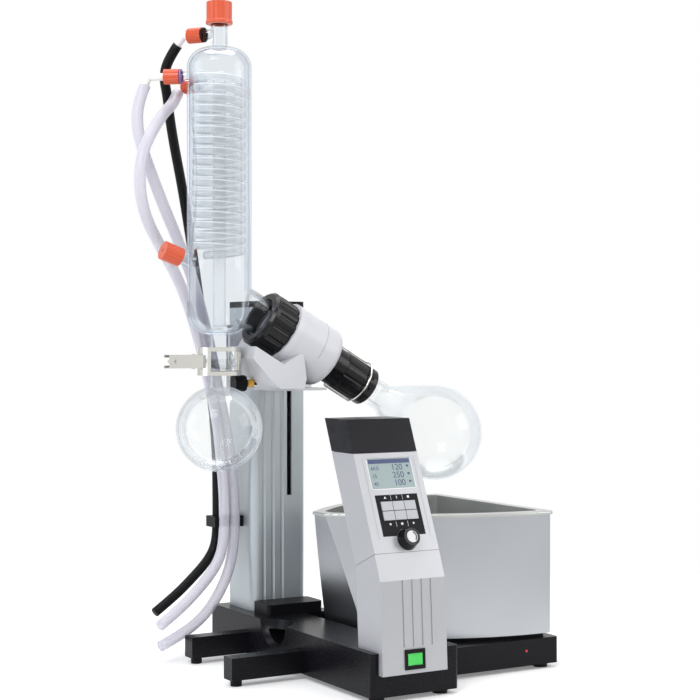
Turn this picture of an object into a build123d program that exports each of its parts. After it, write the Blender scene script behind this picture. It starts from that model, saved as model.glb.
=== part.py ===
from build123d import *

import os
from math import atan2, cos, pi, radians, sin, sqrt, tan

# Rotary evaporator on a bench: a base with a lift column, a drive head with glassware that the
# column raises and lowers, a control console and a heating bath. Millimetres, +Z up, +X to the
# right along the base's front edge, +Y away from the user. Every place below is given from the
# condenser's axis, and at() turns it into the part's frame, whose origin is on the bench under
# the middle of the whole part.

# Fits
fit_gap = 0.3
running_gap = 0.05
loose_gap = 0.5

# Base casting
foot_height = 6.0
foot_radius = 9.0
foot_inset = 16.0
base_height = 51.0
base_front_y = -199.0
base_margin_left = 17.0
base_margin_back = 14.0
base_margin_right = 13.0
base_wall = 8.0
base_bevel = 9.0
base_corner = 5.0
spine_width = 71.0
cradle_depth = 58.0
cradle_post_right = 22.0
cradle_ledge = 26.0
cavity_length = 200.0
cavity_height = 39.0
board_thickness = 1.6
scoop_radius = 36.0
scoop_setback = 11.0
scoop_y = 42.0

# Legs on the left of the base
leg_width = 22.0
leg_height = 27.0
leg_foot_height = 8.0
leg_foot_radius = 7.0
leg_foot_inset = 11.0
front_leg_length = 98.0
front_leg_y = -29.0
rear_leg_length = 81.0
rear_leg_y = 119.0

# Lift column
column_x = 152.5
column_y = 169.0
column_width = 81.0
column_depth = 78.0
column_wall = 3.0
column_corner = 12.0
column_length = 401.0
column_cap_height = 8.0
flute_radius = 3.2
flute_depth = 1.6
flute_offset = -24.1
flute_pitch = 13.5
flute_count = 3
slot_offset = 13.9
slot_width = 7.0
slot_bottom = 151.0
grip_height = 14.0
grip_depth = 44.0
grip_round = 5.0

# Lift drive inside the column
lift_travel = 130.0
guide_radius = 5.0
guide_clearance = 3.5
guide_edge = 9.0
bush_radius = 7.0
bush_length = 22.0
screw_radius = 6.0
lift_nut_radius = 11.0
lift_nut_length = 30.0
carriage_depth = 40.0
carriage_height = 72.0
column_head_room = 15.0
tongue_width = 5.8
motor_side_gap = 2.0
lift_motor_height = 48.0
coupling_radius = 10.0
coupling_length = 22.0
top_bearing_height = 9.0

# Hose clip on the column's left side
clip_height = 14.0
clip_z = 174.0
clip_depth = 27.0
clip_reach = 42.0
clip_gap = 0.8

# Drive head, set out along the inclined drive axis from where it crosses the condenser's axis
drive_tilt = 30.0
head_rise = 112.0
head_radius = 39.0
head_start = 106.0
head_seam = 142.0
head_end = 170.0
head_wall = 4.0
head_end_round = 9.0
bearing_radius = 24.0
bearing_width = 10.0
arm_half_height = 30.0
arm_reach_y = 117.0
shoe_half_width = 34.0
shoe_drop = 119.0
shoe_round = 8.0
bracket_thickness = 3.0
bracket_plate_depth = 6.0
bracket_right = 138.0
bracket_left = 70.0
bracket_front_y = -20.0
motor_gap = 15.0
motor_radius = 22.0
motor_shaft_radius = 3.0
shaft_pulley_radius = 26.0
motor_pulley_radius = 12.0
pulley_width = 8.0
pulley_start = 128.0
belt_thickness = 1.8

# Ring nut and its flange
flange_width = 8.0
flange_radius = 39.5
hub_radius = 31.0
hub_length = 18.0
hub_bore = 20.0
nut_radius = 36.0
nut_length = 35.0
nut_lip = 8.0
nut_scallops = 14
nut_scallop_radius = 4.5
nut_scallop_depth = 2.0

# Rotating shaft, chuck and vapour duct
shaft_radius = 17.0
shaft_bore = 14.2
shaft_start = 108.0
shaft_end = 186.0
collar_start = 172.5
collar_end = 191.0
collar_radius = 24.5
sleeve_end = 240.0
sleeve_radius = 25.0
sleeve_grooves = 10
sleeve_groove_radius = 3.0
sleeve_groove_depth = 1.4
sleeve_rim = 8.0
duct_radius = 13.0
duct_wall = 2.0
duct_start = 84.0
cone_start = 206.0
cone_length = 32.0
cone_taper = 0.1
cone_mouth_radius = 14.6
bail_wire = 1.2
bail_reach = 40.0
bail_offset = 27.6

# Evaporating flask
flask_centre = 361.0
flask_radius = 61.6
flask_neck_radius = 18.0
flask_neck_start = 203.0
flask_neck_end = 270.0
glass_wall = 2.0

# Condenser
condenser_radius = 39.0
condenser_wall = 2.5
condenser_length = 347.0
condenser_dome = 20.0
condenser_drop = 54.0
condenser_bowl = 30.0
top_neck_radius = 10.3
top_neck_length = 41.0
low_neck_radius = 13.3
side_arm_radius = 24.0
side_flange_radius = 30.0
side_flange_width = 8.5
coil_ring_radius = 27.5
coil_tube_radius = 4.0
coil_turns = 18
coil_drop = 31.0
coil_pitch = 12.7
coil_web = 1.2
core_tube_radius = 8.0
core_tube_rise = 10.0
stub_lap = 0.8
nozzle_radius = 6.0

# Screw caps and hose elbows
top_cap_radius = 15.5
top_cap_height = 26.5
hose_cap_radius = 9.3
hose_cap_length = 19.0
blank_cap_radius = 11.5
blank_cap_length = 24.0
blank_port_lift = 20.0
blank_port_rise = 20.0
cap_ridges = 18
cap_ridge_radius = 0.9
elbow_radius = 4.5
vacuum_rise = 18.0
vacuum_angle = 125.0
vacuum_cap_start = 23.0
vacuum_bend = 50.0
water_one_drop = 33.0
water_one_angle = 142.0
water_one_cap_start = 49.0
water_one_bend = 88.0
water_two_drop = 39.0
water_two_angle = 103.0
water_two_cap_start = 46.0
water_two_bend = 78.0
blank_cap_start = 55.0

# Receiver flask, ball joint and fork clamp
ball_radius = 17.5
ball_drop = 82.0
cup_radius = 22.0
receiver_radius = 52.5
receiver_drop = 85.0
clamp_radius = 27.0
clamp_plate = 2.5
clamp_above_ball = 13.5
clamp_below_ball = 20.5
clamp_window = 40.0
clamp_lip = 5.0
clamp_tail = 69.0
clamp_tail_y = 6.5
clamp_strip_height = 16.0
clamp_pin_x = 35.0
clamp_pin_radius = 2.5
clamp_knuckle = 5.0
clamp_screw_x = 60.0
clamp_screw_radius = 2.4
clamp_nut_radius = 7.0
clamp_nut_width = 4.8

# Locking knob under the head
lock_knob_radius = 10.0
lock_knob_length = 16.0
lock_knob_x = 27.0
lock_knob_y = 18.0
lock_knob_rise = 6.0
lock_rod_radius = 2.5
lock_rod_length = 30.0

# Console
console_x = 148.3
console_width = 88.2
console_wall = 2.5
console_front_y = -208.0
console_depth = 54.0
console_fold_drop = 30.0
console_fold_y = -202.0
console_seam_y = -190.0
console_slope = 23.1
console_thickness = 46.6
console_cap_height = 281.0
console_body_rise = 112.0
console_cap_rise = 39.5
seam_gap = 0.4
cap_line = 0.5
display_width = 60.0
display_height = 37.0
display_up = 96.0
panel_width = 58.4
panel_height = 50.0
panel_up = 45.0
panel_thickness = 1.2
key_width = 15.0
key_height = 10.8
key_gap = 0.9
key_up = 50.3
key_stand = 1.4
key_travel = 0.8
knob_across = 47.4
knob_up = 14.8
knob_radius = 13.0
knob_top_radius = 10.5
knob_height = 12.0
knob_gap = 0.5
board_height = 104.0
board_drop = 34.0
board_side_gap = 2.0
board_screw_inset = 6.0
encoder_side = 14.0
encoder_depth = 7.0
encoder_pin_radius = 3.0
front_flutes = 4
front_flute_left = 29.3
front_flute_pitch = 12.8
front_flute_width = 2.2
front_flute_depth = 1.0
switch_across = 43.5
switch_height = 48.2
switch_width = 27.0
switch_tall = 23.0
switch_depth = 18.0
switch_rim = 3.0
bezel_stand = 1.8
rocker_width = 19.5
rocker_tall = 13.5
rocker_pin = 1.5

# Heating bath
bath_tip_x = 140.0
bath_tip_least = 2.0
bath_right_x = 405.0
bath_half_width = 133.0
bath_side_radius = 355.0
bath_corner = 10.0
bath_bottom = 44.0
bath_rim_height = 194.0
bath_skin = 1.5
bath_jacket = 11.0
bath_facet_run = 30.0
bath_facet_drop = 122.0
bath_rim_lip = 2.2
bath_rim_thickness = 4.0
tank_depth = 124.0
heater_thickness = 8.0
heater_margin = 18.0
bath_base_margin = 4.0
bath_base_height = 33.0
bath_base_wall = 3.0
bath_base_left_x = 222.0
bath_tongue_half = 68.0

# Hoses: outer diameters and the points of their routes
vacuum_hose_diameter = 12.4
water_hose_diameter = 14.0
vacuum_elbow_drop = 10.0
water_one_elbow_drop = 10.0
water_two_elbow_drop = 7.2
vacuum_hose_route = [
    (-33.6, 47, 775), (-42.8, 58.3, 756.3), (-40.5, 72.5, 737), (-32, 82, 720), (-24, 92, 692),
    (-13, 101, 655), (0, 108, 610), (13, 117, 561), (27, 128, 509), (40, 139, 458), (52, 148.5, 408),
    (63, 157, 355), (72.5, 164.5, 306), (78.5, 170, 260), (81, 174, 212), (81.3, 174.4, 163),
    (76.5, 171.8, 139), (62, 167, 121), (39, 160.5, 103), (10, 153.5, 82), (-20, 147.5, 64.5),
]
water_hose_one_route = [
    (-73.5, 54.7, 724), (-81, 55.7, 705.5), (-85, 53.5, 678), (-81, 47.5, 648), (-69, 44.5, 614),
    (-53, 47, 579), (-30, 58, 541), (-4, 73.5, 498), (21, 94, 451), (43, 114, 403), (63, 133, 352),
    (79, 146, 307), (90, 153, 266), (98, 157, 214), (99.5, 158, 160), (94, 156, 124), (84, 153, 100),
    (68, 148, 76), (44, 141, 53), (13, 135.3, 35.5), (-20, 130.5, 23.5),
]
water_hose_two_route = [
    (-22.8, 70.2, 720.8), (-34.6, 57.4, 704.8), (-53, 46, 690.5), (-72, 34.5, 668), (-87, 26.5, 644),
    (-94, 23, 617), (-92, 26, 588), (-80, 35, 559), (-56, 50, 529), (-25, 67.5, 493), (0, 84, 453),
    (23, 102, 406), (45, 120, 354), (62, 135, 313), (73, 147, 268), (82, 155, 216), (84, 157.5, 162),
    (79, 155.5, 134), (65, 151.5, 112), (42, 145.5, 91), (12, 138.5, 68), (-20, 133, 49),
]

# Worked out from the sizes above
tilt_sin = sin(radians(drive_tilt))
tilt_cos = cos(radians(drive_tilt))
slope_sin = sin(radians(console_slope))
slope_cos = cos(radians(console_slope))
console_seam_front = (console_seam_y, console_cap_height - console_body_rise)
console_fold_height = console_seam_front[1] - console_fold_drop
console_top = console_cap_height + console_cap_rise
slope_tan = tan(radians(console_slope))

base_top = foot_height + base_height
column_left = column_x - column_width / 2
column_front = column_y - column_depth / 2
base_left_x = column_left - base_margin_left
base_back_y = column_y + column_depth / 2 + base_margin_back
spine_right_x = base_left_x + spine_width
block_right_x = column_x + column_width / 2 + base_margin_right
block_front_y = column_front - grip_depth - fit_gap
console_left = console_x - console_width / 2
console_right = console_x + console_width / 2
cradle_right_x = console_right + cradle_post_right
cradle_back_y = base_front_y + cradle_depth
ledge_height = foot_height + cradle_ledge
console_back_y = console_front_y + console_depth
bath_base_top = foot_height + bath_base_height
bath_base_right = bath_right_x + bath_base_margin
bath_base_half = bath_half_width + bath_base_margin
slot_x = column_x + slot_offset
bath_tongue_left_x = spine_right_x
guide_spacing = column_width - 2 * (column_wall + guide_clearance + bush_radius)
guide_x = guide_spacing / 2
carriage_width = guide_spacing + 2 * guide_edge
lift_motor_side = guide_spacing - 2 * (guide_radius + motor_side_gap)
column_top = base_top + column_length
carriage_bottom = column_top - top_bearing_height - column_head_room - carriage_height
drive_height = carriage_bottom + head_rise
shoe_bottom = drive_height - shoe_drop
lock_knob_z = shoe_bottom + lock_knob_rise
motor_offset_y = arm_reach_y - head_wall - motor_radius - motor_gap
condenser_bottom = drive_height - condenser_drop
condenser_top = condenser_bottom + condenser_length
coil_top = condenser_top - coil_drop
core_tube_bottom = condenser_bottom + core_tube_rise
blank_port_height = drive_height + blank_port_lift
vacuum_height = condenser_top + vacuum_rise
water_one_height = condenser_top - water_one_drop
water_two_height = condenser_top - water_two_drop
ball_height = drive_height - ball_drop
clamp_top = ball_height + clamp_above_ball
clamp_bottom = ball_height - clamp_below_ball
receiver_height = ball_height - receiver_drop

blank_rise_sin = sin(radians(blank_port_rise))
blank_rise_cos = cos(radians(blank_port_rise))
left_reach = -((blank_cap_start + blank_cap_length) * blank_rise_cos + blank_cap_radius * blank_rise_sin)
stand_lean = atan2(console_fold_y - console_front_y, console_fold_height - ledge_height)
bezel_low = switch_height - switch_tall / 2 * cos(stand_lean) - ledge_height
front_reach = console_front_y + bezel_low * tan(stand_lean) - bezel_stand * cos(stand_lean)
centre_x = (left_reach + bath_base_right) / 2
centre_y = (front_reach + base_back_y) / 2


def at(x, y, z=0.0):
    """A place given from the condenser's axis, in the part's frame."""
    return (x - centre_x, y - centre_y, z)


drive_direction = (tilt_cos, 0, -tilt_sin)
drive_origin = at(0, 0, drive_height)
drive_axis = Axis(drive_origin, drive_direction)
drive_profile = Plane(drive_origin, x_dir=drive_direction, z_dir=(0, -1, 0))
glass_axis = Axis(at(0, 0), (0, 0, 1))
glass_profile = Plane(at(0, 0), x_dir=(1, 0, 0), z_dir=(0, -1, 0))
side_profile = Plane(at(0, 0), x_dir=(0, 1, 0), z_dir=(1, 0, 0))


def drive_plane(along, down=0.0, back=0.0):
    """A plane square to the drive axis: local x points down and local y to the back."""
    origin = at(
        along * tilt_cos - down * tilt_sin,
        back,
        drive_height - along * tilt_sin - down * tilt_cos,
    )
    return Plane(origin, x_dir=(-tilt_sin, 0, -tilt_cos), z_dir=drive_direction)


def console_plane(across, up, out=0.0):
    """A plane on the console's sloping front: local x to the right, local y up the slope."""
    y = console_seam_front[0] + up * slope_sin - out * slope_cos
    z = console_seam_front[1] + up * slope_cos + out * slope_sin
    return Plane(at(console_left + across, y, z), x_dir=(1, 0, 0), z_dir=(0, -slope_cos, slope_sin))


def turned(plane, axis, points):
    """A solid turned about an axis from its half section."""
    with BuildPart() as piece:
        with BuildSketch(plane):
            with BuildLine():
                Polyline(*points, close=True)
            make_face()
        revolve(axis=axis)
    return piece


def drive_ring(start, end, outer, inner):
    """A plain ring round the drive axis."""
    return turned(drive_profile, drive_axis, [(start, inner), (end, inner), (end, outer), (start, outer)])


def finish(piece, name):
    """Labels a finished piece and writes it."""
    piece.part.label = name
    export_step(piece.part, f"parts/{name}.step")


os.makedirs("parts", exist_ok=True)

# Base casting: spine, column block and console cradle in one piece
base_outline = [
    (base_left_x, base_front_y), (cradle_right_x, base_front_y), (cradle_right_x, cradle_back_y),
    (spine_right_x, cradle_back_y), (spine_right_x, block_front_y), (block_right_x, block_front_y),
    (block_right_x, base_back_y), (base_left_x, base_back_y),
]
cavity_x = (base_left_x + spine_right_x) / 2
cavity_width = spine_width - 2 * base_wall
cavity_y = (cradle_back_y + block_front_y) / 2
inlet_width = 48.0
inlet_height = 27.0
inlet_depth = 22.0
inlet_x = column_x
inlet_z = foot_height + base_height / 2
pocket_gap = fit_gap

with BuildPart() as base_casting:
    with BuildSketch(Plane(at(0, 0, foot_height))) as base_sketch:
        with BuildLine():
            Polyline(*base_outline, close=True)
        make_face()
        fillet(base_sketch.vertices(), base_corner)
    extrude(amount=base_height)
    with BuildSketch(side_profile.offset(base_left_x - 1)):
        with BuildLine():
            Polyline(
                (base_back_y - base_bevel, base_top), (base_back_y, base_top - base_bevel),
                (base_back_y, base_top), close=True,
            )
        make_face()
    extrude(amount=block_right_x - base_left_x + 2, mode=Mode.SUBTRACT)
    with BuildSketch(Plane(at(console_x, base_front_y, ledge_height))):
        pocket_depth = 2 * (console_back_y + pocket_gap - base_front_y)
        Rectangle(console_width + 2 * pocket_gap, pocket_depth)
    extrude(amount=base_height, mode=Mode.SUBTRACT)
    with BuildSketch(Plane(at(cavity_x, cavity_y, foot_height))):
        Rectangle(cavity_width, cavity_length)
    extrude(amount=cavity_height, mode=Mode.SUBTRACT)
    with BuildSketch(Plane(at(inlet_x, base_back_y, inlet_z), x_dir=(-1, 0, 0), z_dir=(0, 1, 0))):
        Rectangle(inlet_width + 2 * running_gap, inlet_height + 2 * running_gap)
    extrude(amount=-inlet_depth, mode=Mode.SUBTRACT)
    with Locations(at(base_left_x - scoop_setback, scoop_y, base_top + 3)):
        Sphere(scoop_radius, mode=Mode.SUBTRACT)
finish(base_casting, "base_casting")

# Mains inlet with its three pins, let into the base's back
pin_width = 2.0
pin_tall = 6.0
pin_pitch = 7.0
inlet_mouth = 14.0
with BuildPart() as mains_inlet:
    with BuildSketch(Plane(at(inlet_x, base_back_y, inlet_z), x_dir=(-1, 0, 0), z_dir=(0, 1, 0))):
        Rectangle(inlet_width, inlet_height)
    extrude(amount=-inlet_depth)
    with BuildSketch(Plane(at(inlet_x, base_back_y, inlet_z), x_dir=(-1, 0, 0), z_dir=(0, 1, 0))):
        Rectangle(inlet_width / 2, inlet_height * 2 / 3)
    extrude(amount=-inlet_mouth, mode=Mode.SUBTRACT)
    pin_back = base_back_y - inlet_mouth
    with BuildSketch(Plane(at(inlet_x, pin_back, inlet_z), x_dir=(-1, 0, 0), z_dir=(0, 1, 0))):
        with GridLocations(pin_pitch, 1, 3, 1):
            Rectangle(pin_width, pin_tall)
    extrude(amount=inlet_mouth - 2)
finish(mains_inlet, "mains_inlet")

# Rubber feet under the base, the bath's base and the two legs
front_leg_tip = base_left_x - front_leg_length
rear_leg_tip = base_left_x - rear_leg_length
bath_feet = [
    (bath_base_left_x + foot_inset, foot_inset - bath_base_half),
    (bath_base_right - foot_inset, foot_inset - bath_base_half),
    (bath_base_left_x + foot_inset, bath_base_half - foot_inset),
    (bath_base_right - foot_inset, bath_base_half - foot_inset),
]
with BuildPart() as rubber_feet:
    with BuildSketch(Plane(at(0, 0))):
        with Locations(
            (base_left_x + foot_inset, base_front_y + foot_inset),
            (cradle_right_x - foot_inset, base_front_y + foot_inset),
            (base_left_x + foot_inset, base_back_y - foot_inset),
            (block_right_x - foot_inset, base_back_y - foot_inset),
            *bath_feet,
        ):
            Circle(foot_radius)
    extrude(amount=foot_height)
    with BuildSketch(Plane(at(0, 0))):
        with Locations(
            (front_leg_tip + leg_foot_inset, front_leg_y), (rear_leg_tip + leg_foot_inset, rear_leg_y),
        ):
            Circle(leg_foot_radius)
    extrude(amount=leg_foot_height)
finish(rubber_feet, "rubber_feet")

# Two bars that run left from the base
with BuildPart() as support_legs:
    with BuildSketch(Plane(at(0, 0, leg_foot_height))):
        with Locations(((base_left_x + front_leg_tip) / 2, front_leg_y)):
            Rectangle(front_leg_length, leg_width)
        with Locations(((base_left_x + rear_leg_tip) / 2, rear_leg_y)):
            Rectangle(rear_leg_length, leg_width)
    extrude(amount=leg_height)
finish(support_legs, "support_legs")

# Column: a fluted extrusion with the carriage's slot in its front
with BuildPart() as column:
    with BuildSketch(Plane(at(column_x, column_y, base_top))):
        RectangleRounded(column_width, column_depth, column_corner)
        RectangleRounded(
            column_width - 2 * column_wall, column_depth - 2 * column_wall,
            column_corner - column_wall, mode=Mode.SUBTRACT,
        )
        flute_y = -column_depth / 2 - flute_radius + flute_depth
        with Locations(*[(flute_offset + i * flute_pitch, flute_y) for i in range(flute_count)]):
            Circle(flute_radius, mode=Mode.SUBTRACT)
    extrude(amount=column_length)
    with BuildSketch(Plane(at(slot_x, column_front, base_top + slot_bottom))):
        Rectangle(slot_width, 4 * column_wall)
    extrude(amount=column_length, mode=Mode.SUBTRACT)
finish(column, "column")

# Lift motor, and the screw with its coupling on the column's own axis
motor_top = base_top + lift_motor_height
with BuildPart() as lift_motor:
    with BuildSketch(Plane(at(column_x, column_y, base_top))):
        RectangleRounded(lift_motor_side, lift_motor_side, 4.0)
    extrude(amount=lift_motor_height)
    with BuildSketch(Plane(at(column_x, column_y, motor_top))):
        Circle(motor_shaft_radius)
    extrude(amount=coupling_length / 2)
finish(lift_motor, "lift_motor")

coupling_start = motor_top + loose_gap
with BuildPart() as lead_screw:
    with BuildSketch(Plane(at(column_x, column_y, coupling_start))):
        Circle(coupling_radius)
    extrude(amount=coupling_length)
    with BuildSketch(Plane(at(column_x, column_y, coupling_start))):
        Circle(screw_radius)
    extrude(amount=column_top - loose_gap - coupling_start)
    with BuildSketch(Plane(at(column_x, column_y, coupling_start))):
        Circle(motor_shaft_radius + running_gap)
    extrude(amount=coupling_length / 2 + loose_gap, mode=Mode.SUBTRACT)
finish(lead_screw, "lead_screw")

# Guide rods, and the plate across the column's top that holds them and the screw's end
with BuildPart() as lift_guides:
    with BuildSketch(Plane(at(column_x, column_y, base_top))):
        with Locations((-guide_x, 0), (guide_x, 0)):
            Circle(guide_radius)
    extrude(amount=column_length)
    with BuildSketch(Plane(at(column_x, column_y, column_top - top_bearing_height))):
        Rectangle(column_width - 2 * column_wall - 2 * fit_gap, lift_motor_side)
        Circle(screw_radius + running_gap, mode=Mode.SUBTRACT)
    extrude(amount=top_bearing_height)
finish(lift_guides, "lift_guides")

# Carriage with its tongue through the slot and the bracket under the head, its bushes and its nut
tongue_back = column_y - carriage_depth / 2
bracket_back = arm_reach_y + bracket_plate_depth
bracket_bottom = shoe_bottom - bracket_thickness
with BuildPart() as carriage:
    with BuildSketch(Plane(at(column_x, column_y, carriage_bottom))):
        Rectangle(carriage_width, carriage_depth)
        with Locations((-guide_x, 0), (guide_x, 0)):
            Circle(bush_radius, mode=Mode.SUBTRACT)
        Circle(lift_nut_radius, mode=Mode.SUBTRACT)
    extrude(amount=carriage_height)
    with BuildSketch(Plane(at(slot_x, (bracket_back + tongue_back) / 2, carriage_bottom))):
        Rectangle(tongue_width, tongue_back - bracket_back)
    extrude(amount=carriage_height)
    plate_middle = ((bracket_left + bracket_right) / 2, (bracket_front_y + bracket_back) / 2)
    with BuildSketch(Plane(at(*plate_middle, bracket_bottom))):
        Rectangle(bracket_right - bracket_left, bracket_back - bracket_front_y)
    extrude(amount=bracket_thickness)
    back_middle = ((bracket_left + column_left + column_width) / 2, arm_reach_y + bracket_plate_depth / 2)
    with BuildSketch(Plane(at(*back_middle, bracket_bottom))):
        Rectangle(column_left + column_width - bracket_left, bracket_plate_depth)
    extrude(amount=carriage_bottom + carriage_height - bracket_bottom)
finish(carriage, "carriage")

with BuildPart() as carriage_bushes:
    bush_tops = [carriage_bottom, carriage_bottom + carriage_height - bush_length]
    for bush_z in bush_tops:
        with BuildSketch(Plane(at(column_x, column_y, bush_z))):
            with Locations((-guide_x, 0), (guide_x, 0)):
                Circle(bush_radius)
                Circle(guide_radius + running_gap, mode=Mode.SUBTRACT)
        extrude(amount=bush_length)
    with BuildSketch(Plane(at(column_x, column_y, carriage_bottom))):
        Circle(lift_nut_radius)
        Circle(screw_radius + running_gap, mode=Mode.SUBTRACT)
    extrude(amount=lift_nut_length)
finish(carriage_bushes, "carriage_bushes")

# Column trim: the top cap, the grip block, and the clip for the hoses on the column's left side


def route_place(route, z):
    """Where a hose's route passes a height on its way down."""
    for upper, lower in zip(route, route[1:]):
        if upper[2] >= z > lower[2]:
            share = (upper[2] - z) / (upper[2] - lower[2])
            return (upper[0] + share * (lower[0] - upper[0]), upper[1] + share * (lower[1] - upper[1]))


def hung(route, top):
    """A hose's route with the part above the clip stretched to start at its elbow."""
    stretch = (top - clip_z) / (route[0][2] - clip_z)
    return [(x, y, clip_z + (z - clip_z) * stretch if z > clip_z else z) for x, y, z in route]


vacuum_route = hung(vacuum_hose_route, vacuum_height - vacuum_elbow_drop)
water_one_route = hung(water_hose_one_route, water_one_height - water_one_elbow_drop)
water_two_route = hung(water_hose_two_route, water_two_height - water_two_elbow_drop)
vacuum_clip = route_place(vacuum_route, clip_z)
water_one_clip = route_place(water_one_route, clip_z)
water_two_clip = route_place(water_two_route, clip_z)
clip_left = column_left - clip_reach
clip_front = (water_one_clip[1] + water_two_clip[1]) / 2
clip_middle = ((clip_left + column_left) / 2, clip_front + clip_depth / 2)
grip_middle_y = (block_front_y + column_front) / 2
with BuildPart() as column_trim:
    with BuildSketch(Plane(at(column_x, column_y, column_top))):
        RectangleRounded(column_width, column_depth, column_corner)
    extrude(amount=column_cap_height)
    with BuildSketch(Plane(at(column_x, grip_middle_y, base_top))):
        RectangleRounded(column_width, grip_depth - fit_gap, grip_round)
    extrude(amount=grip_height)
    with BuildSketch(Plane(at(*clip_middle, clip_z - clip_height / 2))):
        Rectangle(clip_reach, clip_depth)
    extrude(amount=clip_height)
    with BuildSketch(Plane(at(0, 0, clip_z - clip_height / 2))):
        with Locations(vacuum_clip):
            Circle(vacuum_hose_diameter / 2 + clip_gap)
        with Locations(water_one_clip, water_two_clip):
            Circle(water_hose_diameter / 2 + clip_gap)
    extrude(amount=clip_height, mode=Mode.SUBTRACT)
finish(column_trim, "column_trim")

# Drive head: a hollow housing with an arm for the motor and a shoe under it
lock_plane = Plane(at(lock_knob_x, lock_knob_y, lock_knob_z), x_dir=(0, 1, 0), z_dir=(1, 0, 0))
shoe_outline = [
    (28.5, shoe_bottom + 37), (60, shoe_bottom + 4), (67, shoe_bottom), (99, shoe_bottom),
    (102, shoe_bottom + 11), (98, shoe_bottom + 45), (70.8, shoe_bottom + 29.6), (32.7, shoe_bottom + 51.6),
]


with BuildPart() as head_housing:
    with BuildSketch(drive_plane(head_start)):
        Circle(head_radius)
        with Locations((0, arm_reach_y / 2)):
            Rectangle(2 * arm_half_height, arm_reach_y)
    extrude(amount=head_end - head_start)
    fillet(head_housing.faces().sort_by(drive_axis)[-1].edges(), head_end_round)
    with BuildSketch(glass_profile):
        with BuildLine():
            Polyline(*shoe_outline, close=True)
        make_face()
    extrude(amount=shoe_half_width, both=True)
    with BuildSketch(drive_plane(head_start + bearing_width)):
        Circle(head_radius - head_wall)
        with Locations((0, (arm_reach_y - head_wall) / 2)):
            Rectangle(2 * (arm_half_height - head_wall), arm_reach_y - head_wall)
    extrude(amount=head_end - head_start - 2 * bearing_width, mode=Mode.SUBTRACT)
    with BuildSketch(drive_plane(head_start)):
        Circle(bearing_radius + running_gap)
    extrude(amount=head_end - head_start, mode=Mode.SUBTRACT)
    with BuildSketch(lock_plane):
        Circle(lock_rod_radius + running_gap)
    extrude(amount=lock_knob_length + lock_rod_length + 1, mode=Mode.SUBTRACT)
finish(head_housing, "head_housing")

with BuildPart() as bearings:
    for bearing_start in (head_start, head_end - bearing_width):
        with BuildSketch(drive_plane(bearing_start)):
            Circle(bearing_radius)
            Circle(shaft_radius + running_gap, mode=Mode.SUBTRACT)
        extrude(amount=bearing_width)
finish(bearings, "bearings")

# Drive motor, its pulley and the belt
with BuildPart() as drive_motor:
    with BuildSketch(drive_plane(head_seam, 0, motor_offset_y)):
        Circle(motor_radius)
    extrude(amount=head_end - bearing_width - head_seam)
    with BuildSketch(drive_plane(pulley_start, 0, motor_offset_y)):
        Circle(motor_shaft_radius)
    extrude(amount=head_seam - pulley_start)
finish(drive_motor, "drive_motor")

with BuildPart() as motor_pulley:
    with BuildSketch(drive_plane(pulley_start, 0, motor_offset_y)):
        Circle(motor_pulley_radius)
        Circle(motor_shaft_radius + running_gap, mode=Mode.SUBTRACT)
    extrude(amount=pulley_width)
finish(motor_pulley, "motor_pulley")

with BuildPart() as drive_belt:
    with BuildSketch(drive_plane(pulley_start + 1)):
        with BuildSketch(mode=Mode.PRIVATE) as belt_outer:
            Circle(shaft_pulley_radius + fit_gap + belt_thickness)
            with Locations((0, motor_offset_y)):
                Circle(motor_pulley_radius + fit_gap + belt_thickness)
            make_hull()
        with BuildSketch(mode=Mode.PRIVATE) as belt_inner:
            Circle(shaft_pulley_radius + fit_gap)
            with Locations((0, motor_offset_y)):
                Circle(motor_pulley_radius + fit_gap)
            make_hull()
        add(belt_outer.sketch)
        add(belt_inner.sketch, mode=Mode.SUBTRACT)
    extrude(amount=pulley_width - 2)
finish(drive_belt, "drive_belt")

# Flange with the hub that the ring nut screws on, and the seal round the vapour duct
flange_start = head_start - flange_width
hub_start = flange_start - hub_length
flange_ring = turned(drive_profile, drive_axis, [
    (hub_start, hub_bore), (head_start, hub_bore), (head_start, flange_radius),
    (flange_start, flange_radius), (flange_start, hub_radius), (hub_start, hub_radius),
])
finish(flange_ring, "flange_ring")

seal_start = duct_start + 2
shaft_seal = drive_ring(seal_start, head_start - 2, hub_bore, duct_radius + running_gap)
finish(shaft_seal, "shaft_seal")

nut_end = flange_start - loose_gap
nut_start = nut_end - nut_length
side_flange_end = hub_start - loose_gap
side_flange_start = side_flange_end - side_flange_width
with BuildPart() as ring_nut:
    with BuildSketch(drive_profile):
        with BuildLine():
            Polyline(
                (nut_start, side_arm_radius + 1.5), (nut_start + nut_lip, side_arm_radius + 1.5),
                (nut_start + nut_lip, hub_radius + fit_gap), (nut_end, hub_radius + fit_gap),
                (nut_end, nut_radius), (nut_start + 3, nut_radius), (nut_start, nut_radius - 3),
                close=True,
            )
        make_face()
    revolve(axis=drive_axis)
    with BuildSketch(drive_plane(nut_start + nut_lip)):
        with PolarLocations(nut_radius + nut_scallop_radius - nut_scallop_depth, nut_scallops):
            Circle(nut_scallop_radius)
    extrude(amount=nut_length, mode=Mode.SUBTRACT)
finish(ring_nut, "ring_nut")

# Rotating assembly: hollow shaft, chuck, vapour duct and flask
pulley_end = pulley_start + pulley_width
hollow_shaft = turned(drive_profile, drive_axis, [
    (shaft_start, shaft_bore), (shaft_end, shaft_bore), (shaft_end, shaft_radius),
    (pulley_end, shaft_radius), (pulley_end, shaft_pulley_radius), (pulley_start, shaft_pulley_radius),
    (pulley_start, shaft_radius), (shaft_start, shaft_radius),
])
finish(hollow_shaft, "hollow_shaft")

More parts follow.
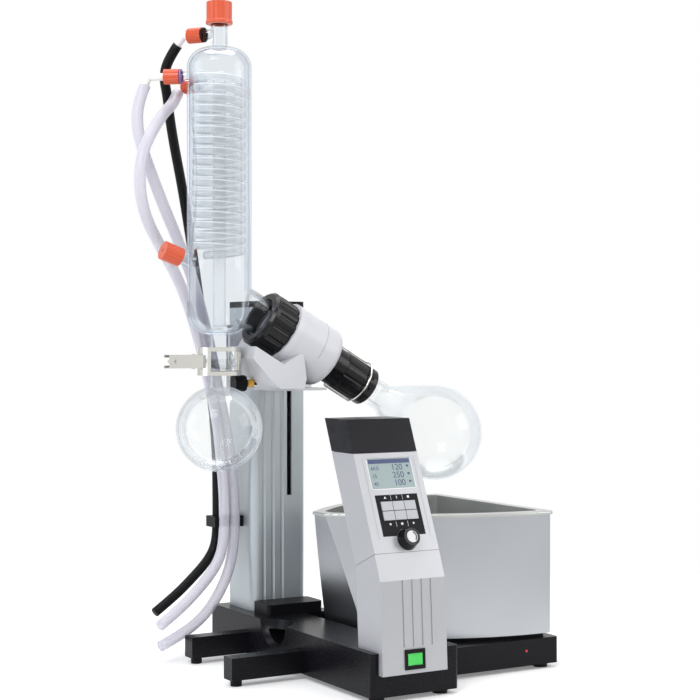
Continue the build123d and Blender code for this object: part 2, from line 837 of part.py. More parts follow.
pin_along = (collar_start + collar_end) / 2 + 3
pin_plane = Plane(drive_plane(pin_along).origin, x_dir=drive_direction, z_dir=(tilt_sin, 0, tilt_cos))
sleeve_start = collar_end + fit_gap
with BuildPart() as chuck:
    with BuildSketch(drive_profile):
        with BuildLine():
            Polyline(
                (collar_start, shaft_radius), (shaft_end, shaft_radius), (shaft_end, shaft_bore),
                (collar_end, shaft_bore), (collar_end, collar_radius), (collar_start, collar_radius),
                close=True,
            )
        make_face()
    revolve(axis=drive_axis)
    with BuildSketch(drive_profile):
        with BuildLine():
            Polyline(
                (sleeve_start, shaft_bore), (flask_neck_start - 1, shaft_bore),
                (flask_neck_start - 1, flask_neck_radius + fit_gap),
                (sleeve_end, flask_neck_radius + fit_gap), (sleeve_end, sleeve_radius - 1.5),
                (sleeve_end - 1.5, sleeve_radius), (sleeve_start, sleeve_radius), close=True,
            )
        make_face()
    revolve(axis=drive_axis)
    for outward in (1, -1):
        hole_plane = Plane(pin_plane.origin, x_dir=drive_direction, z_dir=outward * pin_plane.z_dir)
        with BuildSketch(hole_plane.offset(shaft_radius + 1)):
            Circle(bail_wire + running_gap)
        extrude(amount=collar_radius, mode=Mode.SUBTRACT)
    with BuildSketch(drive_plane(sleeve_start)):
        with PolarLocations(sleeve_radius + sleeve_groove_radius - sleeve_groove_depth, sleeve_grooves):
            Circle(sleeve_groove_radius)
    extrude(amount=sleeve_end - sleeve_rim - sleeve_start, mode=Mode.SUBTRACT)
finish(chuck, "chuck")

cone_end = cone_start + cone_length
cone_end_radius = cone_mouth_radius - cone_length * cone_taper / 2
vapour_duct = turned(drive_profile, drive_axis, [
    (duct_start, duct_radius - duct_wall), (cone_end, duct_radius - duct_wall),
    (cone_end, cone_end_radius - running_gap), (cone_start, cone_mouth_radius - running_gap),
    (cone_start - 3, duct_radius), (duct_start, duct_radius),
])
finish(vapour_duct, "vapour_duct")


def pear(neck_radius, ball, start):
    """Half section of the pear flask: straight neck, cone and ball, closed on the axis."""
    tangent_along = flask_centre - ball * tilt_sin
    tangent_radius = ball * tilt_cos
    cone_foot = tangent_along - (tangent_radius - neck_radius) / tan(radians(drive_tilt))
    with BuildSketch(drive_profile) as section:
        with BuildLine():
            Polyline(
                (start, 0), (start, neck_radius), (cone_foot, neck_radius), (tangent_along, tangent_radius),
            )
            RadiusArc((tangent_along, tangent_radius), (flask_centre + ball, 0), ball)
            Line((flask_centre + ball, 0), (start, 0))
        make_face()
    return section.sketch


neck_inner = cone_mouth_radius + running_gap
with BuildPart() as evaporating_flask:
    add(pear(flask_neck_radius, flask_radius, flask_neck_start))
    revolve(axis=drive_axis)
    add(pear(neck_inner, flask_radius - glass_wall, flask_neck_start - 1))
    revolve(axis=drive_axis, mode=Mode.SUBTRACT)
finish(evaporating_flask, "evaporating_flask")

# Wire bail hinged on the collar, lying over the chuck's near side
bail_end = pin_along + bail_reach
with BuildPart() as flask_bail:
    for side in (1, -1):
        with BuildSketch(drive_plane(pin_along, side * bail_offset)):
            Circle(bail_wire)
        extrude(amount=bail_reach)
        stub_plane = Plane(
            drive_plane(pin_along, side * bail_offset).origin, z_dir=(side * tilt_sin, 0, side * tilt_cos),
        )
        with BuildSketch(stub_plane):
            Circle(bail_wire)
        extrude(amount=bail_offset - shaft_radius - 2)
        for corner_along in (pin_along, bail_end):
            with Locations(drive_plane(corner_along, side * bail_offset).origin):
                Sphere(bail_wire + running_gap)
    with BuildSketch(Plane(drive_plane(bail_end).origin, x_dir=(tilt_sin, 0, tilt_cos), z_dir=(0, -1, 0))):
        with Locations((bail_offset, 0)):
            Circle(bail_wire - running_gap)
    revolve(axis=Axis(drive_plane(bail_end).origin, drive_direction), revolution_arc=180)
finish(flask_bail, "flask_bail")

# Condenser: jacket with its necks, and the side arm that the ring nut holds
bowl_top = condenser_bottom + condenser_bowl
dome_bottom = condenser_top - condenser_dome
neck_top = condenser_top + top_neck_length
ball_neck = low_neck_radius


def jacket(shrink):
    """Half section of the condenser's outside, or of its bore when shrunk by the wall."""
    body = condenser_radius - shrink
    top_neck = top_neck_radius - shrink
    low_neck = low_neck_radius - shrink
    dome_top = condenser_top - shrink
    bowl_bottom = condenser_bottom + shrink
    end_top = neck_top + (1 if shrink else 0)
    end_bottom = ball_height - (ball_radius + 1 if shrink else 0)
    with BuildSketch(glass_profile) as section:
        with BuildLine():
            Polyline((0, end_bottom), (low_neck, end_bottom), (low_neck, bowl_bottom))
            ThreePointArc(
                (low_neck, bowl_bottom),
                (low_neck + (body - low_neck) * 0.72, bowl_bottom + (bowl_top - bowl_bottom) * 0.30),
                (body, bowl_top),
            )
            Line((body, bowl_top), (body, dome_bottom))
            ThreePointArc(
                (body, dome_bottom),
                (top_neck + (body - top_neck) * 0.74, dome_bottom + (dome_top - dome_bottom) * 0.68),
                (top_neck, dome_top),
            )
            Polyline((top_neck, dome_top), (top_neck, end_top), (0, end_top), (0, end_bottom))
        make_face()
    return section.sketch


def nozzle_plane(height, angle, reach, rise=0.0):
    """A plane square to a nozzle that points away from the condenser's axis."""
    flat = cos(radians(rise))
    direction = (cos(radians(angle)) * flat, sin(radians(angle)) * flat, sin(radians(rise)))
    origin = at(direction[0] * reach, direction[1] * reach, height + direction[2] * reach)
    return Plane(origin, z_dir=direction)


wall_root = condenser_radius - 6
port_radius = nozzle_radius + 2
nozzles = [
    (vacuum_height, vacuum_angle, 0.0, 0.0, vacuum_cap_start, nozzle_radius),
    (water_one_height, water_one_angle, 0.0, wall_root, water_one_cap_start, nozzle_radius),
    (water_two_height, water_two_angle, 0.0, wall_root, water_two_cap_start, nozzle_radius),
    (blank_port_height, 180.0, blank_port_rise, wall_root, blank_cap_start, port_radius),
]
cap_seat = 12.0

with BuildPart() as condenser:
    add(jacket(0))
    revolve(axis=glass_axis)
    with Locations(at(0, 0, ball_height)):
        Sphere(ball_radius)
    with BuildSketch(drive_plane(0)):
        Circle(side_arm_radius)
    extrude(amount=side_flange_start + 1)
    with BuildSketch(drive_plane(side_flange_start)):
        Circle(side_flange_radius)
    extrude(amount=side_flange_width)
    for height, angle, rise, root, cap_start, radius in nozzles:
        with BuildSketch(nozzle_plane(height, angle, root, rise)):
            Circle(radius)
        extrude(amount=cap_start + cap_seat - root)
    add(jacket(condenser_wall))
    revolve(axis=glass_axis, mode=Mode.SUBTRACT)
    with BuildSketch(drive_plane(0)):
        Circle(side_arm_radius - condenser_wall)
    extrude(amount=side_flange_end + 1, mode=Mode.SUBTRACT)
    for height, angle, rise, root, cap_start, radius in nozzles:
        with BuildSketch(nozzle_plane(height, angle, root, rise)):
            Circle(radius - condenser_wall)
        extrude(amount=cap_start + cap_seat + 1 - root, mode=Mode.SUBTRACT)
finish(condenser, "condenser")

# Cooling coil round a core tube: turns on a thin sleeve, with a disc at each end
coil_bottom = coil_top - (coil_turns - 1) * coil_pitch
coil_middle = (coil_top + coil_bottom) / 2
with BuildPart() as cooling_coil:
    with BuildSketch(glass_profile):
        with Locations((core_tube_radius / 2, (coil_top + core_tube_bottom) / 2)):
            Rectangle(core_tube_radius, coil_top - core_tube_bottom)
        with Locations((coil_ring_radius, coil_middle)):
            Rectangle(coil_web, coil_top - coil_bottom)
        with Locations((coil_ring_radius / 2, coil_top), (coil_ring_radius / 2, coil_bottom)):
            Rectangle(coil_ring_radius, 2 * coil_web)
        with Locations(*[(coil_ring_radius, coil_top - i * coil_pitch) for i in range(coil_turns)]):
            Circle(coil_tube_radius)
    revolve(axis=glass_axis)
    stub_end = condenser_radius - condenser_wall
    stub_radius = nozzle_radius - condenser_wall + stub_lap
    for height, angle in ((water_one_height, water_one_angle), (water_two_height, water_two_angle)):
        with BuildSketch(nozzle_plane(height, angle, coil_ring_radius)):
            Circle(stub_radius)
        extrude(amount=stub_end - coil_ring_radius)
finish(cooling_coil, "cooling_coil")


def screw_cap(plane, radius, length, bore, seat, through):
    """A ridged screw cap on a threaded end, with a hole for the hose fitting if it has one."""
    with BuildPart() as piece:
        with BuildSketch(plane):
            Circle(radius)
            with PolarLocations(radius + cap_ridge_radius / 3, cap_ridges):
                Circle(cap_ridge_radius, mode=Mode.SUBTRACT)
        extrude(amount=length)
        with BuildSketch(plane):
            Circle(bore)
        extrude(amount=seat, mode=Mode.SUBTRACT)
        if through > 0:
            with BuildSketch(plane):
                Circle(through)
            extrude(amount=length, mode=Mode.SUBTRACT)
    return piece


top_cap_start = neck_top - cap_seat
top_cap = screw_cap(
    Plane(at(0, 0, top_cap_start)), top_cap_radius, top_cap_height, top_neck_radius + running_gap,
    cap_seat + running_gap, 0,
)
finish(top_cap, "top_cap")

hose_cap_bore = nozzle_radius + running_gap
fitting_hole = elbow_radius + running_gap


def hose_cap(height, angle, start):
    """A cap that holds a hose elbow on a nozzle."""
    plane = nozzle_plane(height, angle, start)
    return screw_cap(
        plane, hose_cap_radius, hose_cap_length, hose_cap_bore, cap_seat + running_gap, fitting_hole,
    )


vacuum_cap = hose_cap(vacuum_height, vacuum_angle, vacuum_cap_start)
finish(vacuum_cap, "vacuum_cap")
water_cap_one = hose_cap(water_one_height, water_one_angle, water_one_cap_start)
finish(water_cap_one, "water_cap_one")
water_cap_two = hose_cap(water_two_height, water_two_angle, water_two_cap_start)
finish(water_cap_two, "water_cap_two")
blank_cap = screw_cap(
    nozzle_plane(blank_port_height, 180, blank_cap_start, blank_port_rise), blank_cap_radius,
    blank_cap_length, port_radius + running_gap, cap_seat + running_gap, 0,
)
finish(blank_cap, "blank_cap")


hose_fittings = [
    (vacuum_height, vacuum_angle, vacuum_cap_start, vacuum_bend, vacuum_route[0]),
    (water_one_height, water_one_angle, water_one_cap_start, water_one_bend, water_one_route[0]),
    (water_two_height, water_two_angle, water_two_cap_start, water_two_bend, water_two_route[0]),
]
with BuildPart() as hose_elbows:
    for height, angle, cap_start, bend, hose_start in hose_fittings:
        corner = Vector(*at(cos(radians(angle)) * bend, sin(radians(angle)) * bend, height))
        down = Vector(*at(*hose_start)) - corner
        with BuildSketch(nozzle_plane(height, angle, cap_start + cap_seat)):
            Circle(elbow_radius)
        extrude(amount=bend - cap_start - cap_seat)
        with Locations(corner):
            Sphere(elbow_radius + running_gap)
        with BuildSketch(Plane(corner, z_dir=down)):
            Circle(elbow_radius)
        extrude(amount=down.length)
finish(hose_elbows, "hose_elbows")


def hose(name, route, diameter):
    """A hose along straight runs that are joined by arcs as large as the runs allow."""
    points = [Vector(*at(*point)) for point in route]
    runs = [(b - a).length for a, b in zip(points, points[1:])]
    turns = [(b - a).get_angle(c - b) for a, b, c in zip(points, points[1:], points[2:])]
    radii = [0.45 * min(pair) / tan(radians(turn / 2)) for pair, turn in zip(zip(runs, runs[1:]), turns)]
    with BuildPart() as piece:
        with BuildLine() as path:
            FilletPolyline(*points, radius=radii)
        with BuildSketch(Plane(points[0], z_dir=points[1] - points[0])):
            Circle(diameter / 2)
        sweep(path=path.line)
    length = sum(edge.length for edge in path.edges())
    share = piece.part.volume / (pi * diameter ** 2 / 4 * length)
    print(name, f"length {length:.0f}, volume share {share:.4f}, radii", [round(r) for r in radii])
    return piece


vacuum_hose = hose("vacuum_hose", vacuum_route, vacuum_hose_diameter)
finish(vacuum_hose, "vacuum_hose")
water_hose_one = hose("water_hose_one", water_one_route, water_hose_diameter)
finish(water_hose_one, "water_hose_one")
water_hose_two = hose("water_hose_two", water_two_route, water_hose_diameter)
finish(water_hose_two, "water_hose_two")

# Receiver flask with its ball-joint cup
cup_bottom = clamp_bottom + clamp_plate + 1
cup_top = ball_height - 1
cup_flare = cup_bottom + 9
with BuildPart() as receiver_flask:
    with Locations(at(0, 0, receiver_height)):
        Sphere(receiver_radius)
    with BuildSketch(glass_profile):
        with BuildLine():
            Polyline(
                (0, receiver_height), (low_neck_radius, receiver_height), (low_neck_radius, cup_bottom),
                (cup_radius, cup_flare), (cup_radius, cup_top), (0, cup_top), close=True,
            )
        make_face()
    revolve(axis=glass_axis)
    with Locations(at(0, 0, receiver_height)):
        Sphere(receiver_radius - glass_wall, mode=Mode.SUBTRACT)
    with Locations(at(0, 0, ball_height)):
        Sphere(ball_radius + fit_gap, mode=Mode.SUBTRACT)
    with BuildSketch(Plane(at(0, 0, receiver_height))):
        Circle(low_neck_radius - glass_wall)
    extrude(amount=cup_top - receiver_height, mode=Mode.SUBTRACT)
finish(receiver_flask, "receiver_flask")

# Fork clamp that holds the ball joint: two jaws on a pin, with a screw between their tails
notch_radius = low_neck_radius + loose_gap + 0.5
strip_mid = (clamp_top + clamp_bottom) / 2
strip_low = strip_mid - clamp_strip_height / 2
knuckle_low = strip_mid - 5.0
knuckle_high = strip_mid + 5.0
split_half = 0.5


def jaw(side, knuckles):
    """One jaw of the clamp. side is -1 for the near jaw and 1 for the far jaw."""
    inner = clamp_radius - clamp_plate
    with BuildPart() as piece:
        with BuildSketch(glass_profile):
            with BuildLine():
                Polyline(
                    (notch_radius, clamp_bottom), (clamp_radius, clamp_bottom), (clamp_radius, clamp_top),
                    (notch_radius, clamp_top), (notch_radius, clamp_top - clamp_plate),
                    (inner, clamp_top - clamp_plate), (inner, clamp_bottom + clamp_plate),
                    (notch_radius, clamp_bottom + clamp_plate), close=True,
                )
            make_face()
        revolve(axis=glass_axis)
        with BuildSketch(Plane(at(0, -side * (clamp_radius - split_half), clamp_bottom))):
            Rectangle(4 * clamp_radius, 2 * clamp_radius)
        extrude(amount=clamp_top - clamp_bottom, mode=Mode.SUBTRACT)
        with BuildSketch(Plane(at(0, 0, strip_mid), x_dir=(1, 0, 0), z_dir=(0, side, 0))):
            Rectangle(clamp_window, clamp_top - clamp_bottom - 2 * clamp_lip)
        extrude(amount=clamp_radius, mode=Mode.SUBTRACT)
        strip_y = side * (clamp_tail_y + clamp_plate / 2)
        strip_x = -(clamp_tail + inner) / 2
        with BuildSketch(Plane(at(strip_x, strip_y, strip_low))):
            Rectangle(clamp_tail - inner, clamp_plate)
        extrude(amount=clamp_strip_height)
        for low, high in knuckles:
            with BuildSketch(Plane(at(-clamp_pin_x, 0, low))):
                Circle(clamp_knuckle)
                with Locations((0, side * clamp_tail_y / 2)):
                    Rectangle(clamp_knuckle, clamp_tail_y)
                Circle(clamp_pin_radius + running_gap, mode=Mode.SUBTRACT)
            extrude(amount=high - low)
        slot_plane = Plane(at(-clamp_screw_x, strip_y, strip_mid), x_dir=(1, 0, 0), z_dir=(0, -1, 0))
        with BuildSketch(slot_plane):
            if side > 0:
                Rectangle(2 * (clamp_tail - clamp_screw_x) + 2, 4 * clamp_screw_radius)
            else:
                Circle(clamp_screw_radius)
        extrude(amount=clamp_plate, both=True, mode=Mode.SUBTRACT)
    return piece


clamp_jaw_front = jaw(-1, [(knuckle_low, knuckle_high)])
finish(clamp_jaw_front, "clamp_jaw_front")
clamp_jaw_back = jaw(1, [
    (strip_low, knuckle_low - fit_gap), (knuckle_high + fit_gap, strip_low + clamp_strip_height),
])
finish(clamp_jaw_back, "clamp_jaw_back")

screw_start_y = -(clamp_tail_y + clamp_plate) - 3
screw_end_y = clamp_tail_y + clamp_plate + 4
screw_plane = Plane(at(-clamp_screw_x, screw_start_y, strip_mid), x_dir=(1, 0, 0), z_dir=(0, 1, 0))
with BuildPart() as clamp_pins:
    with BuildSketch(Plane(at(-clamp_pin_x, 0, strip_low - 1))):
        Circle(clamp_pin_radius)
    extrude(amount=clamp_strip_height + 2)
    with BuildSketch(screw_plane):
        Circle(clamp_screw_radius)
    extrude(amount=screw_end_y - screw_start_y)
finish(clamp_pins, "clamp_pins")

with BuildPart() as clamp_nut:
    with BuildSketch(screw_plane.offset(-screw_start_y - clamp_nut_width)):
        Circle(clamp_nut_radius)
        Circle(clamp_screw_radius + running_gap, mode=Mode.SUBTRACT)
        with PolarLocations(clamp_nut_radius + cap_ridge_radius / 3, cap_ridges):
            Circle(cap_ridge_radius, mode=Mode.SUBTRACT)
    extrude(amount=clamp_nut_width)
finish(clamp_nut, "clamp_nut")

# Locking knob under the head, with its rod
with BuildPart() as lock_knob:
    with BuildSketch(lock_plane):
        Circle(lock_knob_radius)
        with PolarLocations(lock_knob_radius + 1.0, 10):
            Circle(2.0, mode=Mode.SUBTRACT)
    extrude(amount=lock_knob_length)
    with BuildSketch(lock_plane.offset(lock_knob_length)):
        Circle(lock_rod_radius)
    extrude(amount=lock_rod_length)
finish(lock_knob, "lock_knob")

# Console stand: the fluted lower shell
back_seam = (
    console_seam_front[0] + console_thickness * slope_cos,
    console_seam_front[1] - console_thickness * slope_sin,
)
stand_outline = [
    (console_front_y, ledge_height), (console_fold_y, console_fold_height), console_seam_front,
    back_seam, (console_back_y, ledge_height + base_height / 2), (console_back_y, ledge_height),
]


def shell(outline, wall):
    """A box shell of the console's width, from its side outline, with one wall all round."""
    with BuildPart() as piece:
        with BuildSketch(side_profile.offset(console_left)) as outer:
            with BuildLine():
                Polyline(*outline, close=True)
            make_face()
        extrude(amount=console_width)
        with BuildSketch(side_profile.offset(console_left + wall)):
            with BuildLine():
                Polyline(*outline, close=True)
            make_face()
            offset(amount=-wall, kind=Kind.INTERSECTION, mode=Mode.REPLACE)
        extrude(amount=console_width - 2 * wall, mode=Mode.SUBTRACT)
    return piece


def front_plane(across, height):
    """A plane on the stand's front, which leans back a little: local x right, local y up."""
    y = console_front_y + (height - ledge_height) * tan(stand_lean)
    normal = (0, -cos(stand_lean), sin(stand_lean))
    return Plane(at(console_left + across, y, height), x_dir=(1, 0, 0), z_dir=normal)


flute_low = switch_height + switch_tall / 2 + 3
stand_shell = shell(stand_outline, console_wall)
with BuildPart() as console_stand:
    add(stand_shell.part)
    flute_mid = (flute_low + console_fold_height) / 2
    with BuildSketch(front_plane(front_flute_left, flute_mid)):
        for i in range(front_flutes):
            with Locations((i * front_flute_pitch, 0)):
                Rectangle(front_flute_width, console_fold_height - flute_low)
    extrude(amount=-front_flute_depth, mode=Mode.SUBTRACT)
    with BuildSketch(front_plane(switch_across, switch_height)):
        socket_gap = 2 * (running_gap - switch_rim)
        Rectangle(switch_width + socket_gap, switch_tall + socket_gap)
    extrude(amount=-2 * console_wall, mode=Mode.SUBTRACT)
finish(console_stand, "console_stand")

# Mains switch: a bezel with its socket, and the rocker on its pin
with BuildPart() as switch_bezel:
    with BuildSketch(front_plane(switch_across, switch_height)):
        Rectangle(switch_width, switch_tall)
    extrude(amount=bezel_stand)
    with BuildSketch(front_plane(switch_across, switch_height)):
        Rectangle(switch_width - 2 * switch_rim, switch_tall - 2 * switch_rim)
    extrude(amount=-switch_depth)
    with BuildSketch(front_plane(switch_across, switch_height).offset(bezel_stand)):
        Rectangle(rocker_width + 2 * loose_gap, rocker_tall + 2 * loose_gap)
    extrude(amount=-switch_depth * 2 / 3, mode=Mode.SUBTRACT)
    rocker_pivot = front_plane(switch_across, switch_height).offset(-4.0)
    pivot_axis_plane = Plane(rocker_pivot.origin, x_dir=rocker_pivot.x_dir, z_dir=rocker_pivot.y_dir)
    with BuildSketch(pivot_axis_plane):
        Circle(rocker_pin)
    extrude(amount=switch_tall / 2 - switch_rim, both=True)
finish(switch_bezel, "switch_bezel")

with BuildPart() as switch_rocker:
    with BuildSketch(Plane(rocker_pivot.origin, x_dir=rocker_pivot.x_dir, z_dir=-rocker_pivot.y_dir)):
        half = rocker_width / 2
        with BuildLine():
            Polyline((-half, 0), (-half, 5.4), (0, 4.2), (half, 5.4), (half, 0), (0, -3.5), close=True)
        make_face()
        Circle(rocker_pin + running_gap, mode=Mode.SUBTRACT)
    extrude(amount=rocker_tall / 2, both=True)
finish(switch_rocker, "switch_rocker")

# Console body above the seam, its dark cap, display, keypad, keys and knob
seam_front = (console_seam_front[0] + seam_gap * slope_sin, console_seam_front[1] + seam_gap * slope_cos)
seam_back = (back_seam[0] + seam_gap * slope_sin, back_seam[1] + seam_gap * slope_cos)


def front_y(z):
    """The sloping front's place at a height."""
    return console_seam_front[0] + (z - console_seam_front[1]) * slope_tan


def back_y(z):
    """The sloping back's place at a height."""
    return back_seam[0] + (z - back_seam[1]) * slope_tan


body_outline = [
    seam_front, (front_y(console_cap_height), console_cap_height),
    (back_y(console_cap_height), console_cap_height), seam_back,
]
cap_bottom = console_cap_height + cap_line
cap_outline = [
    (front_y(cap_bottom), cap_bottom), (front_y(console_top), console_top),
    (back_y(console_top), console_top), (back_y(cap_bottom), cap_bottom),
]
display_across = console_width / 2 + 1.6
panel_across = console_width / 2 + 1.7
recess_depth = panel_thickness

body_shell = shell(body_outline, console_wall)
with BuildPart() as console_body:
    add(body_shell.part)
    with BuildSketch(console_plane(display_across, display_up)):
        Rectangle(display_width + 2 * running_gap, display_height + 2 * running_gap)
    extrude(amount=-recess_depth, mode=Mode.SUBTRACT)
    with BuildSketch(console_plane(panel_across, panel_up)):
        Rectangle(panel_width + 2 * running_gap, panel_height + 2 * running_gap)
    extrude(amount=-recess_depth, mode=Mode.SUBTRACT)
    key_pitch_x = key_width + key_gap
    key_pitch_y = key_height + key_gap
    with BuildSketch(console_plane(panel_across, key_up)):
        with GridLocations(key_pitch_x, key_pitch_y, 3, 2):
            Rectangle(key_width - 2, key_height - 2)
    extrude(amount=-2 * console_wall, mode=Mode.SUBTRACT)
    with BuildSketch(console_plane(knob_across, knob_up)):
        Circle(encoder_pin_radius + loose_gap)
    extrude(amount=-2 * console_wall, mode=Mode.SUBTRACT)
finish(console_body, "console_body")

console_cap = shell(cap_outline, console_wall)
finish(console_cap, "console_cap")

with BuildPart() as display_window:
    with BuildSketch(console_plane(display_across, display_up, -recess_depth)):
        Rectangle(display_width, display_height)
    extrude(amount=recess_depth)
finish(display_window, "display_window")

with BuildPart() as keypad_panel:
    with BuildSketch(console_plane(panel_across, panel_up, -recess_depth)):
        Rectangle(panel_width, panel_height)
        with Locations((0, key_up - panel_up)):
            with GridLocations(key_pitch_x, key_pitch_y, 3, 2):
                Rectangle(key_width + 2 * running_gap, key_height + 2 * running_gap, mode=Mode.SUBTRACT)
        with Locations((knob_across - panel_across, knob_up - panel_up)):
            Circle(knob_radius + loose_gap, mode=Mode.SUBTRACT)
    extrude(amount=panel_thickness)
finish(keypad_panel, "keypad_panel")

# Six keys, numbered along the upper row and then the lower one
key_plunger_depth = 5.0
key_lift = key_travel + fit_gap
for index in range(6):
    key_column = index % 3 - 1
    key_row = 0.5 - index // 3
    key_across = panel_across + key_column * key_pitch_x
    key_place_up = key_up + key_row * key_pitch_y
    with BuildPart() as key:
        with BuildSketch(console_plane(key_across, key_place_up, key_lift - recess_depth)):
            Rectangle(key_width, key_height)
        extrude(amount=key_stand)
        with BuildSketch(console_plane(key_across, key_place_up, key_lift - recess_depth)):
            Rectangle(key_width - 2 - 2 * running_gap, key_height - 2 - 2 * running_gap)
        extrude(amount=-key_plunger_depth)
    finish(key, f"key_{index + 1}")

# Turning knob on its encoder, and the board that carries the encoder
board_gap = 8.0
with BuildPart() as selector_knob:
    with BuildSketch(console_plane(knob_across, knob_up, knob_gap)):
        Circle(knob_radius)
    with BuildSketch(console_plane(knob_across, knob_up, knob_gap + knob_height)):
        Circle(knob_top_radius)
    loft()
    with BuildSketch(console_plane(knob_across, knob_up, knob_gap)):
        Circle(encoder_pin_radius)
    extrude(amount=encoder_depth - board_gap - console_wall - knob_gap)
finish(selector_knob, "selector_knob")

board_width = console_width - 2 * (console_wall + board_side_gap)
with BuildPart() as control_board:
    board_out = -(console_wall + board_gap)
    with BuildSketch(console_plane(console_width / 2, display_up - board_drop, board_out)):
        Rectangle(board_width, board_height)
    extrude(amount=-board_thickness)
    with BuildSketch(console_plane(knob_across, knob_up, board_out)):
        Rectangle(encoder_side, encoder_side)
    extrude(amount=encoder_depth)
    with BuildSketch(console_plane(display_across, display_up, board_out)):
        Rectangle(display_width - 6, display_height - 6)
    extrude(amount=board_gap - loose_gap)
    with BuildSketch(console_plane(console_width / 2, display_up - board_drop, board_out)):
        with GridLocations(board_width - 2 * board_screw_inset, board_height - 2 * board_screw_inset, 2, 2):
            Circle(2.5)
    extrude(amount=board_gap)
finish(control_board, "control_board")

# Heating bath: outer skin, inner tank with the rolled rim, heater, base and feet
side_centre_y = bath_half_width - bath_side_radius


def bath_side_y(x, inset=0.0):
    """Half the bath's width at a place along it."""
    return side_centre_y + sqrt((bath_side_radius - inset) ** 2 - (bath_right_x - x) ** 2)


def bath_plan(plane, inset, tip_inset, corner):
    """The bath's plan: two long arcs from a narrow left end to a square right end."""
    right = bath_right_x - inset
    meeting = sqrt((bath_side_radius - inset) ** 2 - (bath_tip_least - side_centre_y) ** 2)
    tip = max(bath_tip_x + tip_inset, bath_right_x - meeting)
    mid = (right + tip) / 2
    tip_y = bath_side_y(tip, inset)
    mid_y = bath_side_y(mid, inset)
    right_y = bath_side_y(right, inset)
    with BuildSketch(plane) as section:
        with BuildLine():
            ThreePointArc((tip, -tip_y), (mid, -mid_y), (right, -right_y))
            Line((right, -right_y), (right, right_y))
            ThreePointArc((right, right_y), (mid, mid_y), (tip, tip_y))
            Line((tip, tip_y), (tip, -tip_y))
        make_face()
        fillet(section.vertices().group_by(Axis.X)[-1], corner)
    return section.sketch


facet_slope = bath_facet_run / bath_facet_drop


def facet_x(z, inset=0.0):
    """Where the sloping left end lies at a height."""
    return bath_tip_x + (bath_rim_height - z) * facet_slope + inset * sqrt(1 + facet_slope ** 2)


def facet_cut(inset):
    """A wedge that takes off everything left of the sloping end."""
    low, high = bath_bottom - 20, bath_rim_height + 20
    with BuildPart() as wedge:
        with BuildSketch(glass_profile):
            with BuildLine():
                Polyline(
                    (bath_tip_x - 60, low), (facet_x(low, inset), low), (facet_x(high, inset), high),
                    (bath_tip_x - 60, high), close=True,
                )
            make_face()
        extrude(amount=bath_half_width, both=True)
    return wedge


def bath_solid(bottom, top, inset, corner):
    """A solid of the bath's plan between two heights, with the sloping left end."""
    wedge = facet_cut(inset)
    with BuildPart() as piece:
        add(bath_plan(Plane(at(0, 0, bottom)), inset, 0.0, corner))
        extrude(amount=top - bottom)
        add(wedge.part, mode=Mode.SUBTRACT)
    return piece


tank_inset = bath_jacket
tank_bottom = bath_rim_height - tank_depth
skin_outside = bath_solid(bath_bottom, bath_rim_height, 0.0, bath_corner)
skin_inside = bath_solid(bath_bottom - 5, bath_rim_height + 5, bath_skin, bath_corner)
with BuildPart() as bath_shell:
    add(skin_outside.part)
    add(skin_inside.part, mode=Mode.SUBTRACT)
finish(bath_shell, "bath_shell")

tank_outside = bath_solid(tank_bottom, bath_rim_height, tank_inset, bath_corner)
tank_inside = bath_solid(tank_bottom + bath_skin, bath_rim_height + 10, tank_inset + bath_skin, bath_corner)
with BuildPart() as bath_tank:
    add(tank_outside.part)
    add(bath_plan(Plane(at(0, 0, bath_rim_height)), -bath_rim_lip, -bath_rim_lip, bath_corner))
    extrude(amount=bath_rim_thickness)
    fillet(bath_tank.faces().sort_by(Axis.Z)[-1].outer_wire().edges(), bath_rim_thickness * 0.45)
    add(tank_inside.part, mode=Mode.SUBTRACT)
finish(bath_tank, "bath_tank")

heater_top = tank_bottom
heater_low = heater_top - heater_thickness
bath_heater = bath_solid(heater_low, heater_top, tank_inset + heater_margin, bath_corner)
finish(bath_heater, "bath_heater")

# Bath base: a black tray with a tongue under the bath's narrow end
tray_outline = [
    (bath_tongue_left_x, -bath_tongue_half), (bath_base_left_x, -bath_tongue_half),
    (bath_base_left_x, -bath_base_half), (bath_base_right, -bath_base_half),
    (bath_base_right, bath_base_half), (bath_base_left_x, bath_base_half),
    (bath_base_left_x, bath_tongue_half), (bath_tongue_left_x, bath_tongue_half),
]
stand_inset = 6.0
with BuildPart() as bath_base:
    with BuildSketch(Plane(at(0, 0, foot_height))):
        with BuildLine():
            Polyline(*tray_outline, close=True)
        make_face()
    extrude(amount=bath_base_height)
    fillet(bath_base.edges().filter_by(Axis.Z), 3.0)
    with BuildSketch(Plane(at(0, 0, foot_height))):
        with BuildLine():
            Polyline(*tray_outline, close=True)
        make_face()
        offset(amount=-bath_base_wall, kind=Kind.INTERSECTION, mode=Mode.REPLACE)
    extrude(amount=bath_base_height - bath_base_wall, mode=Mode.SUBTRACT)
    with BuildSketch(Plane(at(0, 0, foot_height))):
        with Locations(*bath_feet):
            Circle(foot_radius + 1)
    extrude(amount=bath_base_height - bath_base_wall / 2)
    add(bath_plan(Plane(at(0, 0, bath_base_top)), stand_inset, bath_facet_run + 2 * stand_inset, bath_corner))
    extrude(amount=bath_bottom - bath_base_top)
    with BuildSketch(Plane(at(bath_right_x - bath_half_width, 0, bath_bottom))):
        with GridLocations(bath_half_width, bath_half_width / 2, 2, 2):
            Circle(5.0)
    extrude(amount=heater_low - bath_bottom)
finish(bath_base, "bath_base")
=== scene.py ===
from math import cos, pi, radians, sin

import bpy
from mathutils import Matrix, Vector


